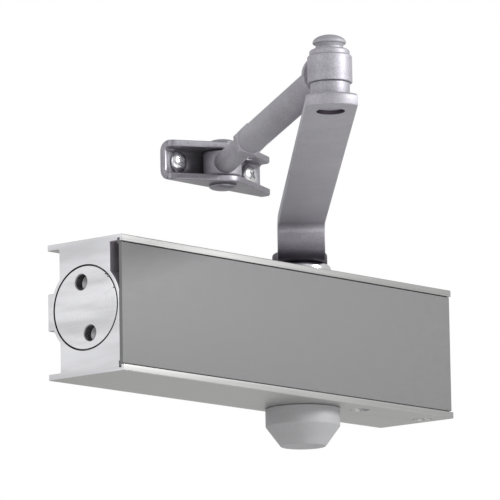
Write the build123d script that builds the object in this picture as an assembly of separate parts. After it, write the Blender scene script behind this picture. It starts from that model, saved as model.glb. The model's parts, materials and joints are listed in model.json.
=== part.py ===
from build123d import *
import math
import os

# Overhead door closer: rack-and-pinion body, cranked main arm, adjustable forearm, frame shoe.
# Millimetres.  Origin: centre of the body's back face, the face that lies on the door.
# +X runs along the body away from the spring end, +Y points into the door, +Z is up.

os.makedirs("parts", exist_ok=True)

# ---- body extrusion ----
BODY_L = 228.0
BODY_D = 44.0
BODY_H = 60.0
FLANGE_T = 2.7
LIP_H = 3.2
LIP_T = 1.5
GROOVE_W = 1.2
GROOVE_DEPTH = 1.0
WEB_BACK = -7.0
WEB_FRONT = -36.9
LOWER_FRONT = -42.0
PAD_H = 16.4
BOSS_R = 20.6
EDGE_R = 0.5

# ---- cylinder bore and end plugs ----
BORE_Y = -22.2
BORE_R = 16.5
SEAT_R = 18.9
SEAT_L = 14.0
PLUG_GAP = 0.35
PLUG_L = 12.0
PIN_HOLE_R = 3.35
PIN_HOLE_DEPTH = 6.0
PIN_HOLE_RADIUS = 11.7
PIN_HOLE_TILT = 12.0

# ---- spindle and its stack ----
SPINDLE_X = 36.4
SPINDLE_Y = -18.0
SPINDLE_HOLE_R = 9.8
JOURNAL_R = 7.0
RUNNING = 0.05
SQUARE = 11.0
SQUARE_LOW = -36.0
SQUARE_TOP = 41.4
BEARING_Z0 = 16.6
GLAND_Z0 = 23.0
RING_R = 14.2
RING_TOP = 36.0

# ---- gear pair ----
MODULE = 1.6
TEETH = 10
PRESSURE = math.radians(25.0)
PITCH_R = MODULE * TEETH / 2
ADDENDUM = 0.8 * MODULE
DEDENDUM = 1.1 * MODULE
BACKLASH = 0.3
GEAR_HALF = 16.4
TRAVEL = PITCH_R * math.radians(170.0)

# ---- piston ----
PISTON_R = 16.4
PISTON_X0 = 10.0
PISTON_X1 = BODY_L / 2 - PLUG_L - 0.5
SLOT_X0 = SPINDLE_X - PITCH_R - ADDENDUM - 1.5
SLOT_X1 = SPINDLE_X + PITCH_R + ADDENDUM + TRAVEL + 1.5
SLOT_BACK = SPINDLE_Y + PITCH_R + ADDENDUM + 0.6
RING_GROOVE = 1.6
BALL_R = 2.0

# ---- spring ----
SPRING_R = 13.2
SPRING_WIRE = 4.4
SPRING_TURNS = 11
SEAT_WASHER_T = 2.0

# ---- cap under the body ----
CAP_R = 17.0
CAP_CYL_H = 8.2
CAP_CONE_H = 9.2
CAP_TIP_R = 10.2
CAP_WALL = 1.8

# ---- regulating valves, (x, y) of each ----
CLOSING_XY = (59.0, -33.0)
LATCHING_XY = (105.0, -32.4)
VALVE_HOLE_R = 3.5
VALVE_R = 3.4
VALVE_TOP = -15.5
CHANNEL_Y = -37.0
CHANNEL_Z = -16.5
CHANNEL_R = 1.2
CROSS_DRILL_X = (52.0, 94.0)
PLUG_BALL_R = 1.6

# ---- fixing holes ----
FIX_DX = 190.0
FIX_DZ = 45.0
FIX_R = 2.75

# ---- main arm ----
ELBOW_X = -145.2
ELBOW_Y = -188.9
ARM_W = 21.5
ARM_T = 5.3
FOOT_Z = 36.3
FOOT_R = 12.6
RISER_U = 17.6
LONG_Z0 = 52.0
LONG_Z1 = 59.3
NOSE_R = 15.0
RIVET_END_R = 5.85

# ---- elbow stack ----
FOREARM_Z = 76.8
KNUCKLE_R = 9.3
KNUCKLE_H = 11.4
SPACER_R = 8.2
COLLAR_R = 8.4
COLLAR_H = 2.5
RIVET_R = 5.0
DOME_R = 7.0
DOME_RIM = 1.8
DOME_Z = 86.3
DOME_H = 5.2
RIVET_SUNK = 1.4
DISC_R = 9.2
DISC_S = 10.6
DISC_T = 2.8
GAP = 0.15

# ---- forearm ----
PIVOT_X = -13.0
PIVOT_Y = -15.0
TUBE_R = 6.3
TUBE_BORE_R = 4.35
ROD_R = 4.0
NUT_FLATS = 13.0
NUT_CHAMFER = 0.8
NUT_T = 7.0
NUT_TURN = 15.0
EYE_R = 8.6
EYE_H = 11.4
NECK_R = 5.2
NECK_END = 57.0
ROD_END = 110.0

# ---- frame shoe ----
SHOE_X0 = -41.5
SHOE_X1 = 24.5
SHOE_BACK = -2.5
SHOE_T = 3.0
SHOE_H = 18.0
SHOE_BEND = 4.7
SHOE_BOSS_R = 9.6
PIN_R = 4.0
PIN_HEAD_R = 6.3
PIN_HEAD_H = 2.7
SHOE_SCREW_X = (-33.0, 15.6)
SHOE_SCREW_R = 2.4
SCREW_HEAD_R = 4.9
SCREW_HEAD_H = 2.9
SCREW_UNDERCUT = 0.7
SCREW_OUT = 5.0
SCREW_NECK_R = 2.1
SCREW_NECK_L = 3.4
CROSS_L = 4.4
CROSS_W = 1.0
CROSS_H = 2.4

LEFT = -BODY_L / 2
RIGHT = BODY_L / 2
TOP = BODY_H / 2
ARM_ANGLE = math.degrees(math.atan2(ELBOW_Y - SPINDLE_Y, ELBOW_X - SPINDLE_X))
ARM_LEN = math.hypot(ELBOW_X - SPINDLE_X, ELBOW_Y - SPINDLE_Y)
FORE_ANGLE = math.degrees(math.atan2(PIVOT_Y - ELBOW_Y, PIVOT_X - ELBOW_X))
FORE_LEN = math.hypot(PIVOT_X - ELBOW_X, PIVOT_Y - ELBOW_Y)
TUBE_END = FORE_LEN - NECK_END - NUT_T - 0.4


# ---------------------------------------------------------------- helpers
def box(x0, x1, y0, y1, z0, z1):
    """Block between two corners."""
    centre = Pos((x0 + x1) / 2, (y0 + y1) / 2, (z0 + z1) / 2)
    return centre * Box(x1 - x0, y1 - y0, z1 - z0)


def rect(y0, y1, z0, z1):
    """Rectangle in the cross-section of the body, depth first, height second."""
    return Pos((y0 + y1) / 2, (z0 + z1) / 2) * Rectangle(y1 - y0, z1 - z0)


def cyl_z(x, y, z0, z1, r):
    """Upright cylinder."""
    return Pos(x, y, (z0 + z1) / 2) * Cylinder(r, z1 - z0)


def cyl_x(x0, x1, y, z, r):
    """Cylinder lying along X."""
    return Pos((x0 + x1) / 2, y, z) * Rot(0, 90, 0) * Cylinder(r, x1 - x0)


def cyl_y(x, y0, y1, z, r):
    """Cylinder lying along Y."""
    return Pos(x, (y0 + y1) / 2, z) * Rot(90, 0, 0) * Cylinder(r, y1 - y0)


def tube_z(x, y, z0, z1, r_out, r_in):
    """Upright ring or sleeve."""
    return cyl_z(x, y, z0, z1, r_out) - cyl_z(x, y, z0 - 1, z1 + 1, r_in)


def tube_x(x0, x1, y, z, r_out, r_in):
    """Ring or sleeve lying along X."""
    return cyl_x(x0, x1, y, z, r_out) - cyl_x(x0 - 1, x1 + 1, y, z, r_in)


def turned(points):
    """Solid turned about the Z axis from a closed outline of (radius, height) points."""
    face = make_face(Polyline(*[(r, 0, z) for r, z in points], close=True))
    return revolve(face, Axis.Z)


def domed(r, rise):
    """Shallow spherical dome of the given rim radius and rise, flat side on z = 0."""
    ball_r = (r * r + rise * rise) / (2 * rise)
    ball = Pos(0, 0, rise - ball_r) * Sphere(ball_r)
    return ball & Pos(0, 0, rise / 2) * Cylinder(r, rise)


def square_bar(x, y, z0, z1, flats, r_max, turn):
    """Square bar with its corners turned off to r_max."""
    bar = Rot(0, 0, turn) * Box(flats, flats, z1 - z0)
    bar = bar & Cylinder(r_max, z1 - z0)
    return Pos(x, y, (z0 + z1) / 2) * bar


def mirror_z(shape):
    """The same piece on the underside of the body."""
    return mirror(shape, about=Plane.XY)


def save(name, *solids):
    """Write one node."""
    shape = solids[0] if len(solids) == 1 else Compound(children=list(solids))
    export_step(shape, f"parts/{name}.step")


# ---------------------------------------------------------------- body
def body_section():
    """Cross-section of the extrusion without its bore."""
    web = rect(LOWER_FRONT, WEB_BACK, -TOP + FLANGE_T, TOP - FLANGE_T)
    pocket = rect(LOWER_FRONT - 1, WEB_FRONT, 0, TOP - FLANGE_T)
    boss = Pos(BORE_Y, 0) * Circle(BOSS_R)
    boss &= rect(LOWER_FRONT, 0, -TOP, TOP)
    section = web - pocket + boss + rect(BORE_Y, 0, -PAD_H / 2, PAD_H / 2)
    for side in (-1, 1):
        flange = rect(-BODY_D, 0, TOP - FLANGE_T, TOP)
        lip = rect(-BODY_D, -BODY_D + LIP_T, TOP - LIP_H, TOP)
        groove = rect(
            -BODY_D + LIP_T,
            -BODY_D + LIP_T + GROOVE_W,
            TOP - LIP_H - 1.2,
            TOP - FLANGE_T + GROOVE_DEPTH,
        )
        if side < 0:
            flange = mirror(flange, about=Plane.XZ)
            lip = mirror(lip, about=Plane.XZ)
            groove = mirror(groove, about=Plane.XZ)
        section = section + flange + lip - groove
    return section


def housing():
    """Body with bore, plug seats, spindle hole, valve holes, oil channel and fixing holes."""
    section = body_section()
    outer = [v for v in section.vertices() if abs(abs(v.Y) - TOP) < 0.01]
    section = fillet(outer, EDGE_R)
    body = Pos(LEFT, 0, 0) * extrude(Plane.YZ * section, BODY_L)
    body -= cyl_x(LEFT - 1, RIGHT + 1, BORE_Y, 0, BORE_R)
    body -= cyl_x(LEFT - 1, LEFT + SEAT_L, BORE_Y, 0, SEAT_R)
    body -= cyl_x(RIGHT - SEAT_L, RIGHT + 1, BORE_Y, 0, SEAT_R)
    body -= cyl_z(SPINDLE_X, SPINDLE_Y, -TOP - 1, TOP + 1, SPINDLE_HOLE_R)
    for x, y in (CLOSING_XY, LATCHING_XY):
        body -= cyl_z(x, y, -TOP - 1, VALVE_TOP, VALVE_HOLE_R)
        body -= cyl_z(x, y, -TOP - 1, -TOP + 1.2, VALVE_HOLE_R + 0.9)
    body -= cyl_x(CROSS_DRILL_X[0] - 2, RIGHT + 1, CHANNEL_Y, CHANNEL_Z, CHANNEL_R)
    body -= cyl_x(RIGHT - 3.6, RIGHT + 1, CHANNEL_Y, CHANNEL_Z, PLUG_BALL_R)
    for x in CROSS_DRILL_X:
        body -= cyl_y(x, LOWER_FRONT - 1, -25, CHANNEL_Z + 0.5, CHANNEL_R)
        body -= cyl_y(x, LOWER_FRONT - 1, LOWER_FRONT + 3.4, CHANNEL_Z + 0.5, PLUG_BALL_R)
    for side in (-1, 1):
        x = side * FIX_DX / 2
        body -= cyl_y(x, LOWER_FRONT - 1, WEB_BACK + 1, FIX_DZ / 2, FIX_R)
        body -= cyl_y(x, LOWER_FRONT - 1, WEB_BACK + 1, -FIX_DZ / 2, FIX_R)
        body -= cyl_y(x, LOWER_FRONT - 1, LOWER_FRONT + 2.6, -FIX_DZ / 2, 4.8)
    return body


def cover_plate():
    """Front plate with two thinner tongues that slide in the grooves behind the lips."""
    front = -BODY_D + 0.3
    plate = box(LEFT, RIGHT - 1, front, front + 1.6, -TOP + LIP_H + 0.2, TOP - LIP_H - 0.2)
    tongue_y = -BODY_D + LIP_T + 0.1
    reach = TOP - FLANGE_T + GROOVE_DEPTH - 0.3
    inner = TOP - LIP_H - 1.0
    for z0, z1 in ((inner, reach), (-reach, -inner)):
        plate += box(LEFT, RIGHT - 1, tongue_y, tongue_y + 0.9, z0, z1)
    return plate


def end_plug(side):
    """Threaded end plug with two blind pin-wrench holes; side -1 is the spring end."""
    face = side * RIGHT
    inner = face - side * PLUG_L
    seat = face - side * 1.5
    x0, x1 = sorted((face, seat))
    plug = cyl_x(x0, x1, BORE_Y, 0, SEAT_R - PLUG_GAP)
    x0, x1 = sorted((seat, inner))
    plug += cyl_x(x0, x1, BORE_Y, 0, SEAT_R - 0.05)
    for turn in (PIN_HOLE_TILT, PIN_HOLE_TILT + 180):
        y = BORE_Y + PIN_HOLE_RADIUS * math.sin(math.radians(turn))
        z = PIN_HOLE_RADIUS * math.cos(math.radians(turn))
        x0, x1 = sorted((face + side, face - side * PIN_HOLE_DEPTH))
        plug -= cyl_x(x0, x1, y, z, PIN_HOLE_R)
    groove = sorted((inner + side * 1.5, inner + side * 3.7))
    plug -= tube_x(groove[0], groove[1], BORE_Y, 0, SEAT_R + 1, SEAT_R - 2.0)
    return plug


def plug_seal(side):
    """O-ring in the groove of an end plug."""
    centre = side * (RIGHT - PLUG_L + 2.6)
    return Pos(centre, BORE_Y, 0) * Rot(0, 90, 0) * Torus(SEAT_R - 1.03, 0.95)


def channel_plugs():
    """Steel balls pressed into the mouths of the drilled oil channels."""
    balls = [Pos(RIGHT - 1.8, CHANNEL_Y, CHANNEL_Z) * Sphere(PLUG_BALL_R)]
    for x in CROSS_DRILL_X:
        balls.append(Pos(x, LOWER_FRONT + 1.8, CHANNEL_Z + 0.5) * Sphere(PLUG_BALL_R))
    return balls


# ---------------------------------------------------------------- spring side
def main_spring():
    """Compression spring between the seat washer and the piston."""
    x0 = LEFT + PLUG_L + SEAT_WASHER_T + SPRING_WIRE / 2 + 0.1
    x1 = PISTON_X0 - SPRING_WIRE / 2 - 0.1
    path = Helix((x1 - x0) / SPRING_TURNS, x1 - x0, SPRING_R)
    wire = sweep(Plane(path @ 0, z_dir=path % 0) * Circle(SPRING_WIRE / 2), path, is_frenet=True)
    return Pos(x0, BORE_Y, 0) * Rot(0, 90, 0) * wire


def spring_seat():
    """Washer between the end plug and the spring."""
    x0 = LEFT + PLUG_L
    return tube_x(x0, x0 + SEAT_WASHER_T, BORE_Y, 0, 16.0, 6.0)


# ---------------------------------------------------------------- piston
def rack_cut():
    """Everything to take out of the piston so that the rack teeth stand on its front wall."""
    pitch_y = SPINDLE_Y - PITCH_R
    tip_y = pitch_y + ADDENDUM
    root_y = pitch_y - DEDENDUM
    pitch = math.pi * MODULE
    half = pitch / 4 - BACKLASH / 4
    slope = math.tan(PRESSURE)
    cut = box(SLOT_X0, SLOT_X1, tip_y, SLOT_BACK, -20, 20)
    for step in range(-2, 9):
        centre = SPINDLE_X + (step + 0.5) * pitch
        gap_half = pitch / 2 - half
        wide = gap_half + ADDENDUM * slope
        narrow = gap_half - DEDENDUM * slope
        if centre - wide < SLOT_X0 or centre + wide > SLOT_X1:
            continue
        space = Polyline(
            (centre - wide, tip_y + 0.01),
            (centre + wide, tip_y + 0.01),
            (centre + narrow, root_y),
            (centre - narrow, root_y),
            close=True,
        )
        cut += Pos(0, 0, -20) * extrude(make_face(space), 40)
    return cut


def piston():
    """Piston with its window, rack teeth, seal grooves and check valve passage."""
    body = cyl_x(PISTON_X0, PISTON_X1, BORE_Y, 0, PISTON_R)
    body -= rack_cut()
    for x in (PISTON_X0 + 5, PISTON_X1 - 7):
        body -= tube_x(x, x + 2.4, BORE_Y, 0, PISTON_R + 1, PISTON_R - RING_GROOVE)
    body -= cyl_x(PISTON_X1 - 9, PISTON_X1 + 1, BORE_Y, 6, BALL_R + 0.35)
    body -= cyl_x(SLOT_X1 - 1, PISTON_X1, BORE_Y, 6, 1.2)
    body -= cyl_x(PISTON_X0 - 1, SLOT_X0 + 1, BORE_Y, 0, 3.0)
    return body


def piston_seals():
    """Two seal rings, one in each piston head."""
    seals = []
    for x in (PISTON_X0 + 5, PISTON_X1 - 7):
        seals.append(tube_x(x + 0.1, x + 2.3, BORE_Y, 0, PISTON_R, PISTON_R - RING_GROOVE + 0.05))
    return seals


def check_ball():
    """Ball of the one-way valve in the piston."""
    return Pos(PISTON_X1 - 4.05, BORE_Y, 6) * Sphere(BALL_R)


def ball_seat():
    """Ring pressed in behind the check ball."""
    x0 = PISTON_X1 - 2.0
    return tube_x(x0, PISTON_X1 - 0.2, BORE_Y, 6, BALL_R + 0.33, 1.1)


# ---------------------------------------------------------------- spindle
def involute_point(base_r, r, offset):
    """Point on an involute flank at radius r, turned by offset radians."""
    roll = math.sqrt(max((r / base_r) ** 2 - 1, 0))
    angle = roll - math.atan(roll) + offset
    return (r * math.cos(angle), r * math.sin(angle))


def pinion_tooth():
    """One involute tooth, centred on the +X axis, with its root inside the core."""
    base_r = PITCH_R * math.cos(PRESSURE)
    tip_r = PITCH_R + ADDENDUM
    inv = math.tan(PRESSURE) - PRESSURE
    half = (math.pi * MODULE / 2 - BACKLASH / 2) / (2 * PITCH_R) + inv
    steps = 6
    radii = [base_r + (tip_r - base_r) * i / steps for i in range(steps + 1)]
    upper = [involute_point(base_r, r, -half) for r in radii]
    lower = [(x, -y) for x, y in upper]
    root = PITCH_R - DEDENDUM - 0.6
    root_low = (root * math.cos(half), -root * math.sin(half))
    root_high = (root_low[0], -root_low[1])
    flank_low = Spline(*upper)
    flank_high = Spline(*lower)
    outline = Line(root_low, upper[0]) + flank_low
    outline += ThreePointArc(upper[-1], (tip_r, 0), lower[-1])
    outline += flank_high + Line(lower[0], root_high) + Line(root_high, root_low)
    return make_face(outline)


def pinion_shaft():
    """Spindle: pinion teeth in the middle, journals, and a square at each end."""
    core = Circle(PITCH_R - DEDENDUM)
    for tooth in range(TEETH):
        turn = -90 + 360 / TEETH * (tooth + 0.5)
        core += Rot(0, 0, turn) * pinion_tooth()
    gear = Pos(SPINDLE_X, SPINDLE_Y, -GEAR_HALF) * extrude(core, 2 * GEAR_HALF)
    shaft = gear + cyl_z(SPINDLE_X, SPINDLE_Y, GEAR_HALF, RING_TOP - 0.2, JOURNAL_R)
    shaft += cyl_z(SPINDLE_X, SPINDLE_Y, -TOP, -GEAR_HALF, JOURNAL_R)
    shaft += square_bar(SPINDLE_X, SPINDLE_Y, TOP, SQUARE_TOP, SQUARE, JOURNAL_R, ARM_ANGLE)
    shaft += square_bar(SPINDLE_X, SPINDLE_Y, SQUARE_LOW, -TOP, SQUARE, JOURNAL_R, ARM_ANGLE)
    shaft -= cyl_z(SPINDLE_X, SPINDLE_Y, SQUARE_TOP - 16, SQUARE_TOP + 1, 2.6)
    return shaft


def bearing():
    """Plain bush that carries a spindle journal."""
    return tube_z(SPINDLE_X, SPINDLE_Y, BEARING_Z0, GLAND_Z0, SPINDLE_HOLE_R - 0.05, JOURNAL_R + RUNNING)


def gland(reach):
    """Threaded retainer with a counterbore for the shaft seal; reach is its top."""
    ring = tube_z(SPINDLE_X, SPINDLE_Y, GLAND_Z0, reach, SPINDLE_HOLE_R - 0.05, JOURNAL_R + 0.4)
    return ring - cyl_z(SPINDLE_X, SPINDLE_Y, GLAND_Z0 - 1, GLAND_Z0 + 3, JOURNAL_R + 1.6)


def shaft_seal():
    """Seal ring between gland and journal."""
    return tube_z(
        SPINDLE_X, SPINDLE_Y, GLAND_Z0 + 0.1, GLAND_Z0 + 2.9, JOURNAL_R + 1.55, JOURNAL_R + RUNNING
    )


def spindle_ring():
    """Collar between the body and the arm, with a rounded shoulder."""
    ring = tube_z(SPINDLE_X, SPINDLE_Y, TOP, RING_TOP, RING_R, JOURNAL_R + 0.6)
    rim = ring.edges().filter_by(GeomType.CIRCLE).filter_by_position(Axis.Z, RING_TOP, RING_TOP)
    return fillet(rim.sort_by(SortBy.RADIUS)[-1], 2.2)


def spindle_cap():
    """Hollow cap, a cylinder then a cone, held on the lower gland by an inner sleeve."""
    low = -TOP - CAP_CYL_H - CAP_CONE_H
    shoulder = -TOP - CAP_CYL_H
    wall = CAP_WALL
    outline = [
        (CAP_R, -TOP - 0.1),
        (CAP_R, shoulder),
        (CAP_TIP_R, low),
        (0, low),
        (0, low + wall),
        (CAP_TIP_R - wall * 0.6, low + wall),
        (CAP_R - wall, shoulder + wall * 0.4),
        (CAP_R - wall, -TOP - 0.1),
    ]
    cap = turned(outline)
    cap += tube_z(0, 0, low + wall - 0.2, -TOP - 0.3, SPINDLE_HOLE_R + 1.4, SPINDLE_HOLE_R)
    cap = fillet(cap.edges().filter_by(GeomType.CIRCLE).filter_by_position(Axis.Z, low, low), 0.8)
    return Pos(SPINDLE_X, SPINDLE_Y, 0) * cap


# ---------------------------------------------------------------- regulating valves
def valve(xy):
    """Regulating screw: slotted head end, seal groove and needle tip."""
    head = -TOP + 0.6
    screw = cyl_z(xy[0], xy[1], head, -22, VALVE_R)
    tip = Pos(xy[0], xy[1], -20.5) * Cone(2.6, 0.8, 3.0)
    screw += tip
    screw -= tube_z(xy[0], xy[1], -25.6, -23.8, VALVE_R + 1, VALVE_R - 1.1)
    screw -= box(xy[0] - 0.55, xy[0] + 0.55, xy[1] - 5, xy[1] + 5, head - 1, head + 1.4)
    return screw


def valve_seal(xy):
    """O-ring in the groove of a regulating screw."""
    return Pos(xy[0], xy[1], -24.7) * Torus(VALVE_R - 0.55, 0.5)


# ---------------------------------------------------------------- main arm
def along_arm(shape):
    """Put a shape drawn with the arm along +X from the spindle axis into place."""
    return Pos(SPINDLE_X, SPINDLE_Y, 0) * Rot(0, 0, ARM_ANGLE) * shape


def main_arm():
    """Cranked flat bar: square-holed foot, riser, long sloping section, round nose."""
    slope = (LONG_Z1 - LONG_Z0) / (ARM_LEN - RISER_U)
    tail = ARM_LEN + NOSE_R
    tail_z = LONG_Z0 + slope * (tail - RISER_U)
    side = Polyline(
        (-FOOT_R, FOOT_Z),
        (RISER_U, FOOT_Z),
        (RISER_U, LONG_Z0),
        (tail, tail_z),
        (tail, tail_z + ARM_T),
        (RISER_U - ARM_T, LONG_Z0 + ARM_T - 0.1),
        (RISER_U - ARM_T, FOOT_Z + ARM_T),
        (-FOOT_R, FOOT_Z + ARM_T),
        close=True,
    )
    face = make_face(side)
    bends = {
        (RISER_U, FOOT_Z): 6.0,
        (RISER_U - ARM_T, FOOT_Z + ARM_T): 1.2,
        (RISER_U, LONG_Z0): 4.0,
        (RISER_U - ARM_T, LONG_Z0 + ARM_T - 0.1): 8.0,
    }
    for (u, z), radius in bends.items():
        corner = face.vertices().sort_by_distance((u, z, 0))[0]
        face = fillet(corner, radius)
    bar = Rot(90, 0, 0) * extrude(face, ARM_W / 2 + 3, both=True)
    plan = Pos(ARM_LEN / 2 + 4, 0) * Rectangle(ARM_LEN - 8, ARM_W)
    plan += Circle(FOOT_R)
    nose = Pos(ARM_LEN, 0) * Circle(NOSE_R) & Pos(ARM_LEN + 5, 0) * Rectangle(30, ARM_W)
    plan += nose
    bar &= extrude(plan, 80)
    top = bar.faces().sort_by_distance((ARM_LEN, 0, LONG_Z1 + ARM_T + 2))[0]
    rim = [e for e in top.edges() if e.center().X > ARM_LEN - 1]
    bar = chamfer(rim, 1.6)
    bar -= Box(SQUARE + 0.1, SQUARE + 0.1, 120)
    bar -= Pos(ARM_LEN, 0, 60) * Cylinder(RIVET_R, 40)
    bar -= cyl_z(ARM_LEN, 0, LONG_Z1 - 3, LONG_Z1 + RIVET_SUNK + 0.4, RIVET_END_R + 0.15)
    return along_arm(bar)


def arm_washer():
    """Washer under the arm screw."""
    return tube_z(SPINDLE_X, SPINDLE_Y, FOOT_Z + ARM_T, FOOT_Z + ARM_T + 1.6, 9.2, 2.7)


def arm_screw():
    """Hexagon screw that clamps the arm on the spindle square."""
    base = FOOT_Z + ARM_T + 1.6
    head = extrude(RegularPolygon(5.0, 6, major_radius=False), 4.2)
    screw = Pos(0, 0, base) * head
    screw += cyl_z(0, 0, base - 15, base, 2.5)
    return Pos(SPINDLE_X, SPINDLE_Y, 0) * screw


# ---------------------------------------------------------------- elbow
def elbow_rivet():
    """Rivet through the nose of the arm, with a domed head on top."""
    end = LONG_Z1 + RIVET_SUNK
    shank = cyl_z(0, 0, end + 0.1, DOME_Z, RIVET_R - RUNNING)
    shank += cyl_z(0, 0, end, end + 0.4, RIVET_END_R)
    shank += Pos(0, 0, DOME_Z + DOME_RIM) * domed(DOME_R, DOME_H - DOME_RIM)
    shank += Pos(0, 0, DOME_Z + DOME_RIM / 2) * Cone(DOME_R - 1.6, DOME_R, DOME_RIM)
    return Pos(ELBOW_X, ELBOW_Y, 0) * shank


def elbow_spacer():
    """Spacer between the arm and the knuckle; its foot fills the slope of the arm."""
    top = FOREARM_Z - KNUCKLE_H / 2 - GAP
    base = LONG_Z1 + ARM_T + 0.3
    spacer = cyl_z(0, 0, base, top, SPACER_R) - cyl_z(0, 0, base - 1, top + 1, RIVET_R)
    return Pos(ELBOW_X, ELBOW_Y, 0) * spacer


def elbow_collar():
    """Ring between the knuckle and the rivet head."""
    base = FOREARM_Z + KNUCKLE_H / 2 + GAP
    ring = cyl_z(0, 0, base, base + COLLAR_H, COLLAR_R)
    ring = fillet(ring.edges().filter_by_position(Axis.Z, base + COLLAR_H, base + COLLAR_H), 1.2)
    ring += cyl_z(0, 0, base + COLLAR_H, DOME_Z, 5.9)
    ring -= cyl_z(0, 0, base - 1, DOME_Z + 1, RIVET_R)
    return Pos(ELBOW_X, ELBOW_Y, 0) * ring


# ---------------------------------------------------------------- forearm
def along_forearm(shape):
    """Put a shape drawn along +X from the elbow axis at height 0 into place."""
    return Pos(ELBOW_X, ELBOW_Y, FOREARM_Z) * Rot(0, 0, FORE_ANGLE) * shape


def elbow_knuckle():
    """Round eye on the rivet with a side neck and a round stop disc."""
    eye = Cylinder(KNUCKLE_R, KNUCKLE_H)
    rims = eye.edges().filter_by(GeomType.CIRCLE).filter_by_position(
        Axis.Z, KNUCKLE_H / 2, KNUCKLE_H / 2
    )
    eye = fillet(rims, 1.3)
    eye += cyl_x(0, DISC_S + 0.5, 0, 0, 5.4)
    disc = cyl_x(DISC_S, DISC_S + DISC_T, 0, 0, DISC_R)
    disc = fillet(disc.edges().filter_by(GeomType.CIRCLE), 0.6)
    eye += disc
    eye += cyl_x(DISC_S + DISC_T, DISC_S + DISC_T + 14, 0, 0, TUBE_BORE_R)
    eye -= Cylinder(RIVET_R + RUNNING, 30)
    return along_forearm(eye)


def forearm_tube():
    """Tube from the stop disc to the lock nut."""
    tube = tube_x(DISC_S + DISC_T + 0.02, TUBE_END, 0, 0, TUBE_R, TUBE_BORE_R + 0.02)
    outer = tube.edges().filter_by(GeomType.CIRCLE).sort_by(SortBy.RADIUS)[-2:]
    tube = chamfer(outer, 0.5)
    return along_forearm(tube)


def lock_nut():
    """Hexagon nut between the tube and the rod's neck."""
    flats = RegularPolygon(NUT_FLATS / 2, 6, major_radius=False)
    nut = Rot(0, 90, 0) * Rot(0, 0, NUT_TURN) * extrude(flats, NUT_T)
    inner = NUT_FLATS / 2 - 0.1
    outer = NUT_FLATS / 2 * 1.16
    side = [(inner, 0), (outer, NUT_CHAMFER), (outer, NUT_T - NUT_CHAMFER), (inner, NUT_T)]
    rounding = turned([(0, 0), *side, (0, NUT_T)])
    nut &= Rot(0, 90, 0) * rounding
    nut -= cyl_x(-1, NUT_T + 1, 0, 0, ROD_R + 0.08)
    return along_forearm(Pos(TUBE_END + 0.1, 0, 0) * nut)


def forearm_rod():
    """Rod in the tube with a tapered neck and the eye that turns in the shoe."""
    eye = Cylinder(EYE_R, EYE_H)
    eye = Pos(FORE_LEN, 0, 0) * chamfer(eye.edges().filter_by(GeomType.CIRCLE), 0.9)
    start = FORE_LEN - NECK_END
    neck = cyl_x(start, FORE_LEN - 6, 0, 0, NECK_R)
    rod = cyl_x(FORE_LEN - ROD_END, start + 1, 0, 0, ROD_R)
    shape = eye + neck + rod
    shape -= Pos(FORE_LEN, 0, 0) * Cylinder(PIN_R + RUNNING, 30)
    return along_forearm(shape)


# ---------------------------------------------------------------- shoe
def shoe_bracket():
    """U-shaped bracket with the pivot boss on its flanges and two screw holes in its web."""
    low = FOREARM_Z - SHOE_H / 2
    high = FOREARM_Z + SHOE_H / 2
    outer = rect(-40, SHOE_BACK, low, high)
    back = [v for v in outer.vertices() if v.X > SHOE_BACK - 1]
    outer = fillet(back, SHOE_BEND)
    inner = rect(-41, SHOE_BACK - SHOE_T, low + SHOE_T, high - SHOE_T)
    back = [v for v in inner.vertices() if v.X > SHOE_BACK - SHOE_T - 1]
    inner = fillet(back, SHOE_BEND - SHOE_T)
    channel = Pos(SHOE_X0, 0, 0) * extrude(Plane.YZ * (outer - inner), SHOE_X1 - SHOE_X0)
    corners = [
        Pos(PIVOT_X, PIVOT_Y) * Circle(SHOE_BOSS_R),
        Pos(SHOE_X0 + 3, -7.5) * Circle(3),
        Pos(SHOE_X1 - 3.0, -10.2) * Circle(2.6),
        Pos(SHOE_X0 + 0.5, 0) * Circle(0.5),
        Pos(SHOE_X1 - 0.5, 0) * Circle(0.5),
    ]
    edges = [e for c in corners for e in c.edges()]
    plan = make_face(make_hull(edges))
    shoe = channel & Pos(0, 0, low - 1) * extrude(plan, SHOE_H + 2)
    shoe -= cyl_z(PIVOT_X, PIVOT_Y, low - 1, high + 1, PIN_R + 0.02)
    for x in SHOE_SCREW_X:
        shoe -= cyl_y(x, SHOE_BACK - SHOE_T - 1, SHOE_BACK + 1, FOREARM_Z, SHOE_SCREW_R + 0.2)
    return shoe


def shoe_pivot_pin():
    """Pin through both flanges with a domed head at each end."""
    half = SHOE_H / 2
    pin = cyl_z(0, 0, -half, half, PIN_R)
    head = Pos(0, 0, half) * domed(PIN_HEAD_R, PIN_HEAD_H)
    pin += head
    pin += Rot(180, 0, 0) * head
    return Pos(PIVOT_X, PIVOT_Y, FOREARM_Z) * pin


def shoe_screws():
    """Two domed cross-recessed screws through the web of the shoe."""
    screws = []
    for x in SHOE_SCREW_X:
        screw = cyl_z(0, 0, -SHOE_T - SCREW_OUT, -SCREW_NECK_L, SHOE_SCREW_R)
        screw += cyl_z(0, 0, -SCREW_NECK_L, 0, SCREW_NECK_R)
        under = Cone(SCREW_HEAD_R - SCREW_UNDERCUT, SCREW_HEAD_R, SCREW_UNDERCUT)
        screw += Pos(0, 0, SCREW_UNDERCUT / 2) * under
        screw += Pos(0, 0, SCREW_UNDERCUT) * domed(SCREW_HEAD_R, SCREW_HEAD_H - SCREW_UNDERCUT)
        cross = Box(CROSS_L, CROSS_W, CROSS_H) + Box(CROSS_W, CROSS_L, CROSS_H)
        recess = Pos(0, 0, SCREW_HEAD_H) * cross
        screw -= recess
        screws.append(Pos(x, SHOE_BACK - SHOE_T, FOREARM_Z) * Rot(90, 0, 0) * screw)
    return screws


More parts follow.
